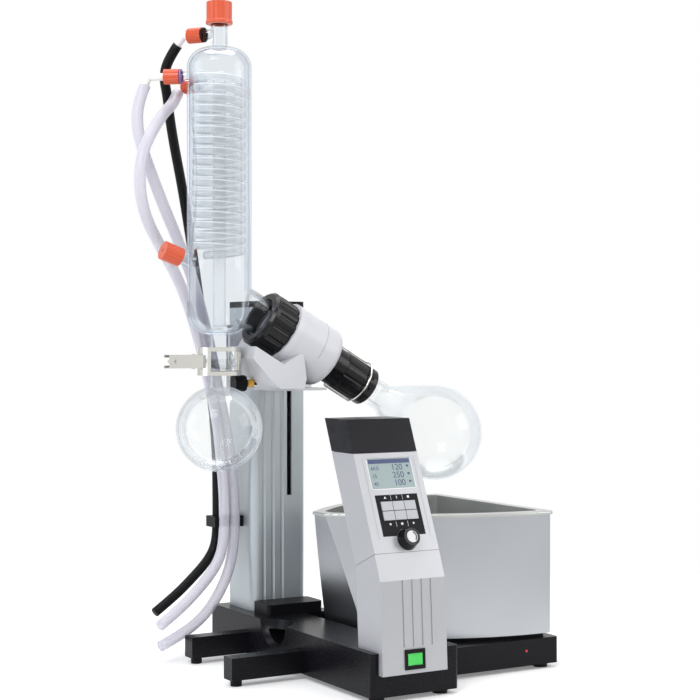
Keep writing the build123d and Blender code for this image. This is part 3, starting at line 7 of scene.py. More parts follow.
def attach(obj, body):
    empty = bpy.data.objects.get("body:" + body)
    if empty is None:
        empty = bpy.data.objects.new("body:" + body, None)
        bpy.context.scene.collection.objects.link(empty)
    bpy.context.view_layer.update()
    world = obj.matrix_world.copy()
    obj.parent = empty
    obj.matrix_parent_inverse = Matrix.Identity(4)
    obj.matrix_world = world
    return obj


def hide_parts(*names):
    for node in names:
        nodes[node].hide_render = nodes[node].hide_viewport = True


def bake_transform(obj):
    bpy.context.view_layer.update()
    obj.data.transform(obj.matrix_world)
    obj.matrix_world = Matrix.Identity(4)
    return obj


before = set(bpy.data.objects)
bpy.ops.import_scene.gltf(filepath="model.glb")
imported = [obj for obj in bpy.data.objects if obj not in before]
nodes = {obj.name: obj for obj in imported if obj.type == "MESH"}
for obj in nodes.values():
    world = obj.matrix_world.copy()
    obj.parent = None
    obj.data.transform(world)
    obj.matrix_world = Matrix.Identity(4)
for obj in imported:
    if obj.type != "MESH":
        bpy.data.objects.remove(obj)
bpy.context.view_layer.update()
scene = bpy.context.scene

# Places are in millimetres, measured from the condenser's axis at bench height
CENTRE = Vector((165.4155, 6.2337, 0.0))  # the frame's origin
DRIVE_TILT = radians(30.0)
DRIVE_HEIGHT = 474.0
CONSOLE_SLOPE = radians(23.1)
CONSOLE_FOLD = (104.2, -190.0, 169.0)  # left end of the fold between the console's stand and slope


def at(x, y, z):
    """A place in the frame, in metres."""
    return (Vector((x, y, z)) - CENTRE) / 1000.0


def around(radius, turn, height):
    """A place on a circle about the condenser's axis."""
    return at(radius * cos(turn), radius * sin(turn), height)


def drive(along, down=0.0, back=0.0):
    """A place along the inclined drive axis."""
    x = along * cos(DRIVE_TILT) - down * sin(DRIVE_TILT)
    z = DRIVE_HEIGHT - along * sin(DRIVE_TILT) - down * cos(DRIVE_TILT)
    return at(x, back, z)


def console(across, up, out=0.0):
    """A place on the console's sloping front."""
    x, y, z = CONSOLE_FOLD
    y += up * sin(CONSOLE_SLOPE) - out * cos(CONSOLE_SLOPE)
    z += up * cos(CONSOLE_SLOPE) + out * sin(CONSOLE_SLOPE)
    return at(x + across, y, z)


def add_object(name, data):
    made = bpy.data.objects.new(name, data)
    scene.collection.objects.link(made)
    return made


# Materials

def node(tree, kind, **values):
    made = tree.nodes.new(kind)
    for key, value in values.items():
        setattr(made, key, value)
    return made


def new_material(name):
    material = bpy.data.materials.new(name)
    material.use_nodes = True
    tree = material.node_tree
    tree.nodes.clear()
    out = node(tree, "ShaderNodeOutputMaterial")
    return material, tree, out


def surface(
    name, color, rough, metal=0.0, grain=220.0, vary=0.06, rough_vary=0.08, bump=0.03,
    stretch=(1, 1, 1), coat=0.0, mottle=9.0, emission=0.0, shine=0.5,
):
    """A solid surface with broad mottling, fine grain in its roughness and a fine bump."""
    material, tree, out = new_material(name)
    link = tree.links.new
    shader = node(tree, "ShaderNodeBsdfPrincipled")
    shader.inputs["Metallic"].default_value = metal
    shader.inputs["Specular IOR Level"].default_value = shine
    shader.inputs["Coat Weight"].default_value = coat
    shader.inputs["Coat Roughness"].default_value = 0.12
    place = node(tree, "ShaderNodeTexCoord")
    mapping = node(tree, "ShaderNodeMapping")
    mapping.inputs["Scale"].default_value = stretch
    link(place.outputs["Object"], mapping.inputs["Vector"])
    broad = node(tree, "ShaderNodeTexNoise")
    broad.inputs["Scale"].default_value = mottle
    broad.inputs["Detail"].default_value = 3.0
    link(place.outputs["Object"], broad.inputs["Vector"])
    fine = node(tree, "ShaderNodeTexNoise")
    fine.inputs["Scale"].default_value = grain
    fine.inputs["Detail"].default_value = 4.0
    link(mapping.outputs["Vector"], fine.inputs["Vector"])
    tint = node(tree, "ShaderNodeValToRGB")
    tint.color_ramp.elements[0].position = 0.3
    tint.color_ramp.elements[1].position = 0.7
    tint.color_ramp.elements[0].color = (*[c * (1 - vary) for c in color], 1)
    tint.color_ramp.elements[1].color = (*[min(1, c * (1 + vary)) for c in color], 1)
    link(broad.outputs["Fac"], tint.inputs["Fac"])
    link(tint.outputs["Color"], shader.inputs["Base Color"])
    span = node(tree, "ShaderNodeMapRange")
    span.inputs["From Min"].default_value = 0.3
    span.inputs["From Max"].default_value = 0.7
    span.inputs["To Min"].default_value = max(0.02, rough - rough_vary)
    span.inputs["To Max"].default_value = min(1.0, rough + rough_vary)
    link(fine.outputs["Fac"], span.inputs["Value"])
    link(span.outputs["Result"], shader.inputs["Roughness"])
    if bump:
        lift = node(tree, "ShaderNodeBump")
        lift.inputs["Strength"].default_value = bump
        lift.inputs["Distance"].default_value = 0.0004
        link(fine.outputs["Fac"], lift.inputs["Height"])
        link(lift.outputs["Normal"], shader.inputs["Normal"])
    if emission:
        shader.inputs["Emission Color"].default_value = (*color, 1)
        shader.inputs["Emission Strength"].default_value = emission
    link(shader.outputs["BSDF"], out.inputs["Surface"])
    return material


def glass(name, clear, edge, edge_power, body=(1.0, 1.0, 1.0), milk=0.0, line=0.0):
    """Thin glass, darker at its edges. Milk is a veil over it, and line is how far up the normal points
    where a painted highlight runs as a pale band along its upper side.
    """
    material, tree, out = new_material(name)
    link = tree.links.new
    see = node(tree, "ShaderNodeBsdfTransparent")
    facing = node(tree, "ShaderNodeLayerWeight")
    facing.inputs["Blend"].default_value = 0.5
    sharpen = node(tree, "ShaderNodeMath", operation="POWER")
    sharpen.inputs[1].default_value = edge_power
    link(facing.outputs["Facing"], sharpen.inputs[0])
    tint = node(tree, "ShaderNodeMix", data_type="RGBA")
    tint.inputs["A"].default_value = (*clear, 1)
    tint.inputs["B"].default_value = (*edge, 1)
    link(sharpen.outputs["Value"], tint.inputs["Factor"])
    link(tint.outputs["Result"], see.inputs["Color"])
    shine = node(tree, "ShaderNodeBsdfGlossy")
    shine.inputs["Color"].default_value = (0.95, 0.97, 1.0, 1)
    shine.inputs["Roughness"].default_value = 0.03
    fresnel = node(tree, "ShaderNodeFresnel")
    fresnel.inputs["IOR"].default_value = 1.30
    soften = node(tree, "ShaderNodeMath", operation="MULTIPLY")
    soften.inputs[1].default_value = 0.45
    link(fresnel.outputs["Fac"], soften.inputs[0])
    waver = node(tree, "ShaderNodeTexNoise")
    waver.inputs["Scale"].default_value = 14.0
    ripple = node(tree, "ShaderNodeBump")
    ripple.inputs["Strength"].default_value = 0.06
    ripple.inputs["Distance"].default_value = 0.002
    place = node(tree, "ShaderNodeTexCoord")
    link(place.outputs["Object"], waver.inputs["Vector"])
    link(waver.outputs["Fac"], ripple.inputs["Height"])
    link(ripple.outputs["Normal"], shine.inputs["Normal"])
    mixed = node(tree, "ShaderNodeMixShader")
    link(soften.outputs["Value"], mixed.inputs[0])
    link(see.outputs["BSDF"], mixed.inputs[1])
    link(shine.outputs["BSDF"], mixed.inputs[2])
    last = mixed
    if milk:
        white = node(tree, "ShaderNodeBsdfDiffuse")
        white.inputs["Color"].default_value = (*body, 1)
        last = node(tree, "ShaderNodeMixShader")
        last.inputs[0].default_value = milk
        # Painted highlight: where the normal points about this far up, the veil turns full white in a
        # pale band
        if line:
            normal = node(tree, "ShaderNodeNewGeometry")
            upper = node(tree, "ShaderNodeSeparateXYZ")
            highlight_band = node(tree, "ShaderNodeValToRGB")
            highlight_band.color_ramp.elements[0].color = (milk, milk, milk, 1)
            highlight_band.color_ramp.elements[0].position = line - 0.22
            highlight_band.color_ramp.elements[1].color = (milk, milk, milk, 1)
            highlight_band.color_ramp.elements[1].position = line + 0.24
            highlight_band.color_ramp.elements.new(line).color = (1, 1, 1, 1)
            link(normal.outputs["Normal"], upper.inputs["Vector"])
            link(upper.outputs["Z"], highlight_band.inputs["Fac"])
            link(highlight_band.outputs["Color"], last.inputs[0])
        link(mixed.outputs["Shader"], last.inputs[1])
        link(white.outputs["BSDF"], last.inputs[2])
    link(last.outputs["Shader"], out.inputs["Surface"])
    return material


def braided(name, color, thread):
    """Milky hose with a crossed thread under its skin. U runs round it and V along it in metres."""
    material, tree, out = new_material(name)
    link = tree.links.new
    shader = node(tree, "ShaderNodeBsdfPrincipled")
    shader.inputs["Roughness"].default_value = 0.32
    shader.inputs["Subsurface Weight"].default_value = 0.12
    shader.inputs["Subsurface Radius"].default_value = (0.004, 0.004, 0.005)
    place = node(tree, "ShaderNodeUVMap", uv_map="UVMap")
    masks = []
    for turn in (1.0, -1.0):
        mapping = node(tree, "ShaderNodeMapping")
        mapping.inputs["Rotation"].default_value = (0, 0, turn * radians(38))
        mapping.inputs["Scale"].default_value = (10.0, 340.0, 1.0)
        wave = node(tree, "ShaderNodeTexWave")
        wave.inputs["Scale"].default_value = 0.5
        wave.inputs["Distortion"].default_value = 0.3
        link(place.outputs["UV"], mapping.inputs["Vector"])
        link(mapping.outputs["Vector"], wave.inputs["Vector"])
        masks.append(wave)
    both = node(tree, "ShaderNodeMath", operation="MAXIMUM")
    link(masks[0].outputs["Fac"], both.inputs[0])
    link(masks[1].outputs["Fac"], both.inputs[1])
    span = node(tree, "ShaderNodeMapRange")
    span.inputs["From Min"].default_value = 0.6
    span.inputs["From Max"].default_value = 1.0
    link(both.outputs["Value"], span.inputs["Value"])
    tint = node(tree, "ShaderNodeMix", data_type="RGBA")
    tint.inputs["A"].default_value = (*color, 1)
    tint.inputs["B"].default_value = (*thread, 1)
    link(span.outputs["Result"], tint.inputs["Factor"])
    link(tint.outputs["Result"], shader.inputs["Base Color"])
    lift = node(tree, "ShaderNodeBump")
    lift.inputs["Strength"].default_value = 0.15
    lift.inputs["Distance"].default_value = 0.0004
    link(span.outputs["Result"], lift.inputs["Height"])
    link(lift.outputs["Normal"], shader.inputs["Normal"])
    see = node(tree, "ShaderNodeBsdfTransparent")
    see.inputs["Color"].default_value = (0.93, 0.92, 0.95, 1)
    facing = node(tree, "ShaderNodeLayerWeight")
    facing.inputs["Blend"].default_value = 0.35
    solid = node(tree, "ShaderNodeMapRange")
    solid.inputs["To Min"].default_value = 0.58
    solid.inputs["To Max"].default_value = 0.95
    link(facing.outputs["Facing"], solid.inputs["Value"])
    mixed = node(tree, "ShaderNodeMixShader")
    link(solid.outputs["Result"], mixed.inputs[0])
    link(see.outputs["BSDF"], mixed.inputs[1])
    link(shader.outputs["BSDF"], mixed.inputs[2])
    link(mixed.outputs["Shader"], out.inputs["Surface"])
    return material


black_casting = surface(
    "black_casting", (0.006, 0.006, 0.008), 0.27, grain=900, bump=0.06, vary=0.2, shine=0.12,
)
black_plastic = surface(
    "black_plastic", (0.007, 0.007, 0.008), 0.40, grain=1200, bump=0.1, vary=0.2, shine=0.12,
)
black_gloss = surface(
    "black_gloss", (0.006, 0.006, 0.007), 0.22, grain=400, vary=0.15, coat=0.08, shine=0.2,
)
rubber = surface(
    "black_rubber", (0.007, 0.007, 0.008), 0.45, grain=700, bump=0.1, vary=0.2, shine=0.12,
)
anodised = surface(
    "anodised", (0.45, 0.485, 0.505), 0.42, metal=0.5, grain=500, stretch=(1, 1, 0.02), bump=0.02,
    rough_vary=0.04,
)
machined = surface("machined", (0.46, 0.47, 0.49), 0.32, metal=1.0, grain=420, stretch=(1, 1, 0.1))
ground_steel = surface("ground_steel", (0.44, 0.45, 0.47), 0.22, metal=1.0, grain=600)
motor_paint = surface("motor_paint", (0.04, 0.04, 0.045), 0.45, grain=600)
bronze = surface("bronze", (0.62, 0.42, 0.18), 0.35, metal=1.0, grain=500)
head_grey = surface("head_grey", (0.56, 0.57, 0.60), 0.40, grain=1100, bump=0.08, vary=0.02)
flange_grey = surface("flange_grey", (0.58, 0.59, 0.62), 0.35, grain=700, vary=0.03)
orange = surface("cap_orange", (0.62, 0.085, 0.026), 0.33, grain=500, vary=0.08, coat=0.15)
white_plastic = surface("white_plastic", (0.82, 0.82, 0.80), 0.38, grain=500, vary=0.03)
nickel = surface(
    "nickel", (0.62, 0.61, 0.575), 0.16, metal=1.0, grain=320, vary=0.05, rough_vary=0.03, bump=0.0,
)
silver_plastic = surface(
    "silver_plastic", (0.40, 0.405, 0.425), 0.36, metal=0.35, grain=1500, bump=0.06, vary=0.02,
)
console_dark = surface(
    "console_dark", (0.011, 0.011, 0.014), 0.30, grain=1400, bump=0.02, vary=0.1, shine=0.12,
)
panel_dark = surface(
    "panel_dark", (0.008, 0.008, 0.010), 0.36, grain=1400, bump=0.02, vary=0.1, shine=0.1,
)
lcd = surface("lcd", (0.21, 0.28, 0.285), 0.16, grain=2000, bump=0.0, vary=0.03, coat=0.1)
lcd_blue = surface("lcd_blue", (0.012, 0.03, 0.12), 0.25, grain=2000, bump=0.0, vary=0.05)
key_grey = surface("key_grey", (0.42, 0.43, 0.46), 0.42, grain=1200, vary=0.04)
# White for print, also used for the painted highlights on the display's frame lines
print_and_highlight_white = surface("print_and_highlight_white", (0.75, 0.75, 0.76), 0.5, grain=900, bump=0.0, vary=0.03)
# Dark for print, also used for the dark disc of painted shade in the blank cap's hole
print_and_shade_dark = surface("print_and_shade_dark", (0.02, 0.02, 0.022), 0.5, grain=900, bump=0.0, vary=0.05)
knob_silver = surface(
    "knob_silver", (0.50, 0.50, 0.51), 0.34, metal=0.3, grain=900, bump=0.0, vary=0.02,
)
board_green = surface("board_green", (0.03, 0.16, 0.07), 0.4, grain=600)
green_lens = surface("green_lens", (0.03, 0.50, 0.06), 0.2, grain=300, coat=0.4, emission=0.12)
red_lens = surface("red_lens", (0.62, 0.01, 0.03), 0.2, grain=300, coat=0.4, emission=0.15)
brushed = surface(
    "brushed_stainless", (0.42, 0.437, 0.46), 0.30, metal=1.0, grain=900, stretch=(0.02, 0.02, 1),
    bump=0.0, vary=0.03, rough_vary=0.012,
)
tank_steel = surface(
    "tank_steel", (0.47, 0.482, 0.468), 0.30, metal=0.65, grain=900, stretch=(0.02, 0.02, 1), bump=0.0,
    vary=0.05, rough_vary=0.0,
)
heater_dark = surface("heater_dark", (0.10, 0.09, 0.08), 0.5, grain=400)
bush_amber = surface("bush_amber", (0.80, 0.42, 0.05), 0.35, grain=400)
ring_purple = surface("ring_purple", (0.22, 0.10, 0.34), 0.4, grain=500)
# Grey for seams and grooves, also used for the painted shade along the display frame's upper edge
seam_and_shade_grey = surface("seam_and_shade_grey", (0.28, 0.29, 0.31), 0.5, grain=700)
clear_glass = glass("clear_glass", (0.940, 0.952, 0.962), (0.56, 0.605, 0.65), 6.0)
flask_glass = glass(
    "flask_glass", (0.985, 0.99, 0.988), (0.84, 0.865, 0.875), 8.0, body=(0.96, 0.97, 0.99), milk=0.05,
)
# The coil's glass carries a painted highlight, a pale band along the upper side of each turn
coil_glass = glass(
    "coil_glass", (0.95, 0.957, 0.963), (0.74, 0.765, 0.79), 3.0, milk=0.30, line=0.62,
)
milky = braided("milky_hose", (0.58, 0.565, 0.645), (0.88, 0.87, 0.93))

paint = {
    black_casting: ["base_casting", "support_legs", "bath_base"],
    black_plastic: ["column_trim", "mains_inlet", "switch_bezel", "lock_knob"],
    black_gloss: ["ring_nut", "chuck", "selector_knob"],
    rubber: ["rubber_feet", "drive_belt", "shaft_seal", "vacuum_hose"],
    anodised: ["column"],
    machined: ["carriage", "motor_pulley"],
    ground_steel: ["lead_screw", "lift_guides", "bearings", "hollow_shaft"],
    motor_paint: ["lift_motor", "drive_motor"],
    bronze: ["carriage_bushes"],
    head_grey: ["head_housing"],
    flange_grey: ["flange_ring"],
    clear_glass: ["vapour_duct", "condenser"],
    flask_glass: ["evaporating_flask", "receiver_flask"],
    coil_glass: ["cooling_coil"],
    orange: ["top_cap", "vacuum_cap", "water_cap_one", "water_cap_two", "blank_cap"],
    white_plastic: ["hose_elbows"],
    milky: ["water_hose_one", "water_hose_two"],
    nickel: ["flask_bail", "clamp_jaw_front", "clamp_jaw_back", "clamp_pins", "clamp_nut"],
    silver_plastic: ["console_stand", "console_body"],
    console_dark: ["console_cap"],
    panel_dark: ["keypad_panel"],
    lcd: ["display_window"],
    key_grey: [f"key_{i}" for i in range(1, 7)],
    board_green: ["control_board"],
    green_lens: ["switch_rocker"],
    brushed: ["bath_shell"],
    tank_steel: ["bath_tank"],
    heater_dark: ["bath_heater"],
}
for material, names in paint.items():
    for name in names:
        nodes[name].data.materials.clear()
        nodes[name].data.materials.append(material)

# Small rounded edges on the boxy pieces, in millimetres, so that they catch the light
EDGES = {
    "base_casting": 2.6, "bath_base": 2.2, "support_legs": 4.0, "console_stand": 1.6, "console_body": 1.6,
    "console_cap": 1.6, "column_trim": 2.4, "switch_bezel": 0.6,
}
for name, width in EDGES.items():
    edge = nodes[name].modifiers.new("edge", "BEVEL")
    edge.width = width / 1000.0
    edge.segments = 3
    edge.limit_method = "ANGLE"
    edge.angle_limit = radians(50)


# Mesh helpers

def place_mesh(name, verts, faces, material, body, smooth=True):
    """A piece that rides on a body, or on none where body is None."""
    mesh = bpy.data.meshes.new(name)
    mesh.from_pydata([tuple(v) for v in verts], [], faces)
    mesh.update()
    if smooth:
        mesh.shade_smooth()
    piece = add_object(name, mesh)
    mesh.materials.append(material)
    if body:
        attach(piece, body)
    return piece


def curve_mesh(name, curve):
    """The mesh that Blender makes of a curve or of text."""
    holder = add_object(name, curve)
    bpy.context.view_layer.update()
    graph = bpy.context.evaluated_depsgraph_get()
    mesh = bpy.data.meshes.new_from_object(holder.evaluated_get(graph))
    bpy.data.objects.remove(holder)
    return mesh


def square_to(direction):
    """Two directions square to this one and to each other."""
    direction = direction.normalized()
    side = direction.cross(Vector((0, 0, 1)))
    if side.length < 1e-4:
        side = Vector((1, 0, 0))
    side.normalize()
    return side, direction.cross(side)


def tube(name, points, radius, material, body, segments=24):
    """A round tube along points, with U round it and V along it in metres."""
    verts, faces, along = [], [], [0.0]
    for a, b in zip(points, points[1:]):
        along.append(along[-1] + (b - a).length)
    side, up = square_to(points[1] - points[0])
    last = len(points) - 1
    for i, point in enumerate(points):
        heading = (points[min(i + 1, last)] - points[max(i - 1, 0)]).normalized()
        side = (side - heading * side.dot(heading)).normalized()
        up = heading.cross(side)
        for k in range(segments):
            turn = 2 * pi * k / segments
            verts.append(point + (side * cos(turn) + up * sin(turn)) * radius)
    for i in range(last):
        for k in range(segments):
            a, b = i * segments + k, i * segments + (k + 1) % segments
            faces.append((a, b, b + segments, a + segments))
    faces.append(tuple(range(segments))[::-1])
    faces.append(tuple(last * segments + k for k in range(segments)))
    piece = place_mesh(name, verts, faces, material, body)
    layer = piece.data.uv_layers.new(name="UVMap")
    for face in piece.data.polygons:
        turns = [v % segments for v in face.vertices]
        wraps = len(turns) == 4 and min(turns) == 0 and max(turns) == segments - 1
        for loop in face.loop_indices:
            vert = piece.data.loops[loop].vertex_index
            turn = vert % segments
            if wraps and turn == 0:
                turn = segments
            layer.data[loop].uv = (turn / segments, along[vert // segments])
    return piece


def lathe(name, start, direction, profile, material, body, segments=48):
    """A ring turned about an axis: profile pairs are (along, radius) in mm."""
    side, up = square_to(direction)
    direction = direction.normalized()
    verts, faces, count = [], [], len(profile)
    for k in range(segments):
        turn = 2 * pi * k / segments
        out = side * cos(turn) + up * sin(turn)
        verts.extend(start + direction * (s / 1000.0) + out * (r / 1000.0) for s, r in profile)
    for k in range(segments):
        for i in range(count):
            a, b = k * count + i, k * count + (i + 1) % count
            c, d = (k + 1) % segments * count + (i + 1) % count, (k + 1) % segments * count + i
            faces.append((a, b, c, d))
    return place_mesh(name, verts, faces, material, body, smooth=False)


# Hoses: the control points of their routes, from elbow to cut end, and outside diameters in metres

VACUUM_DIAMETER = 0.0124
WATER_DIAMETER = 0.0140
ROUTES = {
    "vacuum_hose": [
        (-33.6, 47, 775), (-42.8, 58.3, 756.3), (-40.5, 72.5, 737), (-32, 82, 720), (-24, 92, 692),
        (-13, 101, 655), (0, 108, 610), (13, 117, 561), (27, 128, 509), (40, 139, 458), (52, 148.5, 408),
        (63, 157, 355), (72.5, 164.5, 306), (78.5, 170, 260), (81, 174, 212), (81.3, 174.4, 163),
        (76.5, 171.8, 139), (62, 167, 121), (39, 160.5, 103), (10, 153.5, 82), (-20, 147.5, 64.5),
    ],
    "water_hose_one": [
        (-73.5, 54.7, 724), (-81, 55.7, 705.5), (-85, 53.5, 678), (-81, 47.5, 648), (-69, 44.5, 614),
        (-53, 47, 579), (-30, 58, 541), (-4, 73.5, 498), (21, 94, 451), (43, 114, 403), (63, 133, 352),
        (79, 146, 307), (90, 153, 266), (98, 157, 214), (99.5, 158, 160), (94, 156, 124), (84, 153, 100),
        (68, 148, 76), (44, 141, 53), (13, 135.3, 35.5), (-20, 130.5, 23.5),
    ],
    "water_hose_two": [
        (-22.8, 70.2, 720.8), (-34.6, 57.4, 704.8), (-53, 46, 690.5), (-72, 34.5, 668), (-87, 26.5, 644),
        (-94, 23, 617), (-92, 26, 588), (-80, 35, 559), (-56, 50, 529), (-25, 67.5, 493), (0, 84, 453),
        (23, 102, 406), (45, 120, 354), (62, 135, 313), (73, 147, 268), (82, 155, 216), (84, 157.5, 162),
        (79, 155.5, 134), (65, 151.5, 112), (42, 145.5, 91), (12, 138.5, 68), (-20, 133, 49),
    ],
}


def spline_points(name, route):
    """Points read from a NURBS spline that has the route's points as its control points."""
    curve = bpy.data.curves.new(name + "_line", "CURVE")
    curve.dimensions = "3D"
    curve.resolution_u = 8
    spline = curve.splines.new("NURBS")
    spline.points.add(len(route) - 1)
    for control, place in zip(spline.points, route):
        control.co = (*at(*place), 1.0)
    spline.order_u = 3
    spline.use_endpoint_u = True
    mesh = curve_mesh(name + "_line", curve)
    points = [v.co.copy() for v in mesh.vertices]
    bpy.data.meshes.remove(mesh)
    return points


for name, diameter, material, slot_name in (
    ("vacuum_hose", VACUUM_DIAMETER, rubber, "black_rubber"),
    ("water_hose_one", WATER_DIAMETER, milky, "milky_hose"),
    ("water_hose_two", WATER_DIAMETER, milky, "milky_hose"),
):
    points = spline_points(name, ROUTES[name])
    hose = tube(name + "_tube", points, diameter / 2, material, None, segments=28)
    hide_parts(name)
    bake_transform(hose)

# Cooling coil: one helix between the two water nozzles, and the straight tube inside it. The tubes'
# radii are in metres, and a nozzle is given by its angle in degrees and its height
COIL_TURNS, COIL_STEPS = 17, 40
COIL_RADIUS, COIL_TOP, COIL_PITCH = 27.5, 734.0, 12.7
CORE_TOP, CORE_LENGTH, CORE_STEPS = 738.0, 308.0, 40
COIL_TUBE, CORE_TUBE, END_TUBE = 0.0050, 0.0078, 0.0036
UPPER_NOZZLE, LOWER_NOZZLE = (142, 734.0), (103, 728.0)
VACUUM_NOZZLE = (125, 785.0)

coil = []
for i in range(COIL_TURNS * COIL_STEPS + 1):
    turn = radians(LOWER_NOZZLE[0]) + 2 * pi * i / COIL_STEPS
    coil.append(around(COIL_RADIUS, turn, COIL_TOP - COIL_PITCH * i / COIL_STEPS))
helix = tube("coil_helix", coil, COIL_TUBE, coil_glass, "head", segments=16)
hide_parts("cooling_coil")
core = [at(0, 0, CORE_TOP - CORE_LENGTH * i / CORE_STEPS) for i in range(CORE_STEPS + 1)]
tube("coil_core", core, CORE_TUBE, coil_glass, "head", segments=32)
for angle, height in (UPPER_NOZZLE, LOWER_NOZZLE):
    reach = [around(r, radians(angle), height) for r in (COIL_RADIUS, 30.0, 33.0, 36.0)]
    tube(f"coil_end_{angle}", reach, END_TUBE, coil_glass, "head", segments=20)

# Small turned trim: rings behind two caps, the top cap's skirt, the bush on the locking rod, the bath's
# light and a dark disc of painted shade in the hole of the blank cap. Profile pairs are (along, radius)
RING = [(0, 6.1), (2.2, 6.1), (2.2, 8.6), (1.8, 9.0), (0.4, 9.0), (0, 8.6)]
SKIRT = [(0, 15.2), (0, 16.0), (0.6, 16.4), (3.4, 16.4), (4.6, 15.6), (4.6, 15.2)]
BUSH = [(0, 2.7), (8, 2.7), (8, 4.2), (7.4, 4.6), (0.6, 4.6), (0, 4.2)]
LENS = [(-0.5, 0.05), (-0.5, 1.6), (0.3, 1.6), (0.8, 1.1), (1.0, 0.05)]
HOLE_SHADE = [(-0.1, 0.05), (-0.1, 1.5), (0.08, 1.5), (0.08, 0.05)]
BLANK_HEIGHT, BLANK_REACH, BLANK_TILT = 494, 79, radians(20.0)

for name, (angle, height), start, material in (
    ("vacuum_ring", VACUUM_NOZZLE, 20.0, rubber),
    ("water_ring", UPPER_NOZZLE, 46.0, ring_purple),
):
    turn = radians(angle)
    out = Vector((cos(turn), sin(turn), 0))
    lathe(name, around(start, turn, height), out, RING, material, "head")
up = Vector((0, 0, 1))
lathe("top_cap_skirt", at(0, 0, 796.2), up, SKIRT, orange, "top_cap")
right = Vector((1, 0, 0))
lathe("lock_bush", at(46.5, 18, 361), right, BUSH, bush_amber, "head")
front = Vector((0, -1, 0))
lathe("bath_light", at(359.5, -137, 25), front, LENS, red_lens, "base")

# The seam round the drive head
SEAM_ALONG, SEAM_RADIUS, SEAM_TUBE = 142, 39.05, 0.00028
SEAM_START, SEAM_SWEEP, SEAM_STEPS = -70, -215, 60
seam = []
for k in range(SEAM_STEPS + 1):
    turn = radians(SEAM_START + SEAM_SWEEP * k / SEAM_STEPS)
    seam.append(drive(SEAM_ALONG, SEAM_RADIUS * cos(turn), SEAM_RADIUS * sin(turn)))
tube("head_seam", seam, SEAM_TUBE, seam_and_shade_grey, "head", segments=8)

# A thin dark disc of painted shade on the blank cap's face, standing in for the shade inside its hole
blank_out = Vector((-cos(BLANK_TILT), 0, sin(BLANK_TILT)))
blank_face = at(-BLANK_REACH * cos(BLANK_TILT), 0, BLANK_HEIGHT + BLANK_REACH * sin(BLANK_TILT))
lathe("blank_hole_shade", blank_face, blank_out, HOLE_SHADE, print_and_shade_dark, "blank_cap")


# Console details: thin raised pieces on its sloping front, placed across it and up from the fold

SUNK = 0.02  # how far a thin piece goes into the surface that carries it
PRINT = 0.12  # how far it stands out
MIDDLE = 45.7
LCD_UP, LCD_SIDE, LCD_END, LCD_LINE = 96, 30.4, 18.9, 0.9
ROW_UP, ROW_PITCH = 100.2, 9.6
PANEL_MIDDLE = MIDDLE + 0.1
KEY_PITCH = 15.9
SIGN_ROWS = (66.6, 34.2)
SIGN_SCALE = 0.8
KNOB_ACROSS, KNOB_UP, KNOB_FACE = 47.4, 14.8, 12.5
DISC_RADIUS, DISC_THICK = 7, 0.25
ARC_OUTER, ARC_INNER, ARC_THICK = 6.2, 4.6, 0.1


def patch(name, outline, material, body, base=0.0, thick=PRINT):
    """A flat piece on the console's front from (across, up) points."""
    count = len(outline)
    verts = [console(a, u, base - SUNK) for a, u in outline]
    verts += [console(a, u, base + thick) for a, u in outline]
    faces = [tuple(range(count))[::-1], tuple(range(count, 2 * count))]
    faces += [(i, (i + 1) % count, count + (i + 1) % count, count + i) for i in range(count)]
    return place_mesh(name, verts, faces, material, body, smooth=False)


def bar(name, across, up, width, height, material, thick=PRINT):
    """A rectangle on the console's front, given by its middle."""
    w, h = width / 2, height / 2
    outline = [(across - w, up - h), (across + w, up - h), (across + w, up + h), (across - w, up + h)]
    return patch(name, outline, material, "base", thick=thick)


def letters(name, text, across, up, size, material):
    """Plain figures on the display."""
    words = bpy.data.curves.new(name, "FONT")
    words.body = text
    words.size = size / 1000.0
    words.extrude = 0.00005
    words.align_x = "LEFT"
    mesh = curve_mesh(name + "_maker", words)
    up_dir = Vector((0, sin(CONSOLE_SLOPE), cos(CONSOLE_SLOPE)))
    out_dir = Vector((0, -cos(CONSOLE_SLOPE), sin(CONSOLE_SLOPE)))
    turn = Matrix((Vector((1, 0, 0)), up_dir, out_dir)).transposed().to_4x4()
    mesh.transform(Matrix.Translation(console(across, up, PRINT)) @ turn)
    mesh.name = name
    piece = add_object(name, mesh)
    mesh.materials.clear()
    mesh.materials.append(material)
    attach(piece, "base")
    return piece


def round_knob(radius, turns):
    """Points on a circle about the knob's axis."""
    return [(KNOB_ACROSS + radius * cos(t), KNOB_UP + radius * sin(t)) for t in turns]


bar("lcd_bar", MIDDLE, 111.2, 57, 5.2, lcd_blue)
for row, (small, large) in enumerate((("60.0", "120"), ("15", "250"), ("40", "100"))):
    up = ROW_UP - ROW_PITCH * row
    letters(f"lcd_small_{row + 1}", small, MIDDLE - 26.5, up + 0.6, 6.4, lcd_blue)
    letters(f"lcd_large_{row + 1}", large, MIDDLE + 1.5, up, 10.6, lcd_blue)
    bar(f"lcd_unit_{row + 1}", MIDDLE + 24.2, up + 4.6, 3.2, 2.6, lcd_blue)
# The display's side bars and end bars are painted light: a painted highlight down both sides and along
# the lower edge, and painted shade along the upper edge
for side, end_highlight_shade in ((-1, print_and_highlight_white), (1, seam_and_shade_grey)):
    bar(f"lcd_side_highlight_{side + 1}", MIDDLE + side * LCD_SIDE, LCD_UP, LCD_LINE, 38.8, print_and_highlight_white)
    bar(f"lcd_end_light_shade_{side + 1}", MIDDLE, LCD_UP + side * LCD_END, 61.7, LCD_LINE, end_highlight_shade)
    bar(f"field_groove_{side + 1}", MIDDLE + side * 35.2, 66, 0.7, 100, seam_and_shade_grey, thick=0.05)
    for row, up in zip(("top", "low"), SIGN_ROWS):
        across = PANEL_MIDDLE + side * KEY_PITCH / 2
        bar(f"panel_{row}_{side + 1}", across, up, 0.35, 6.4, print_and_highlight_white)

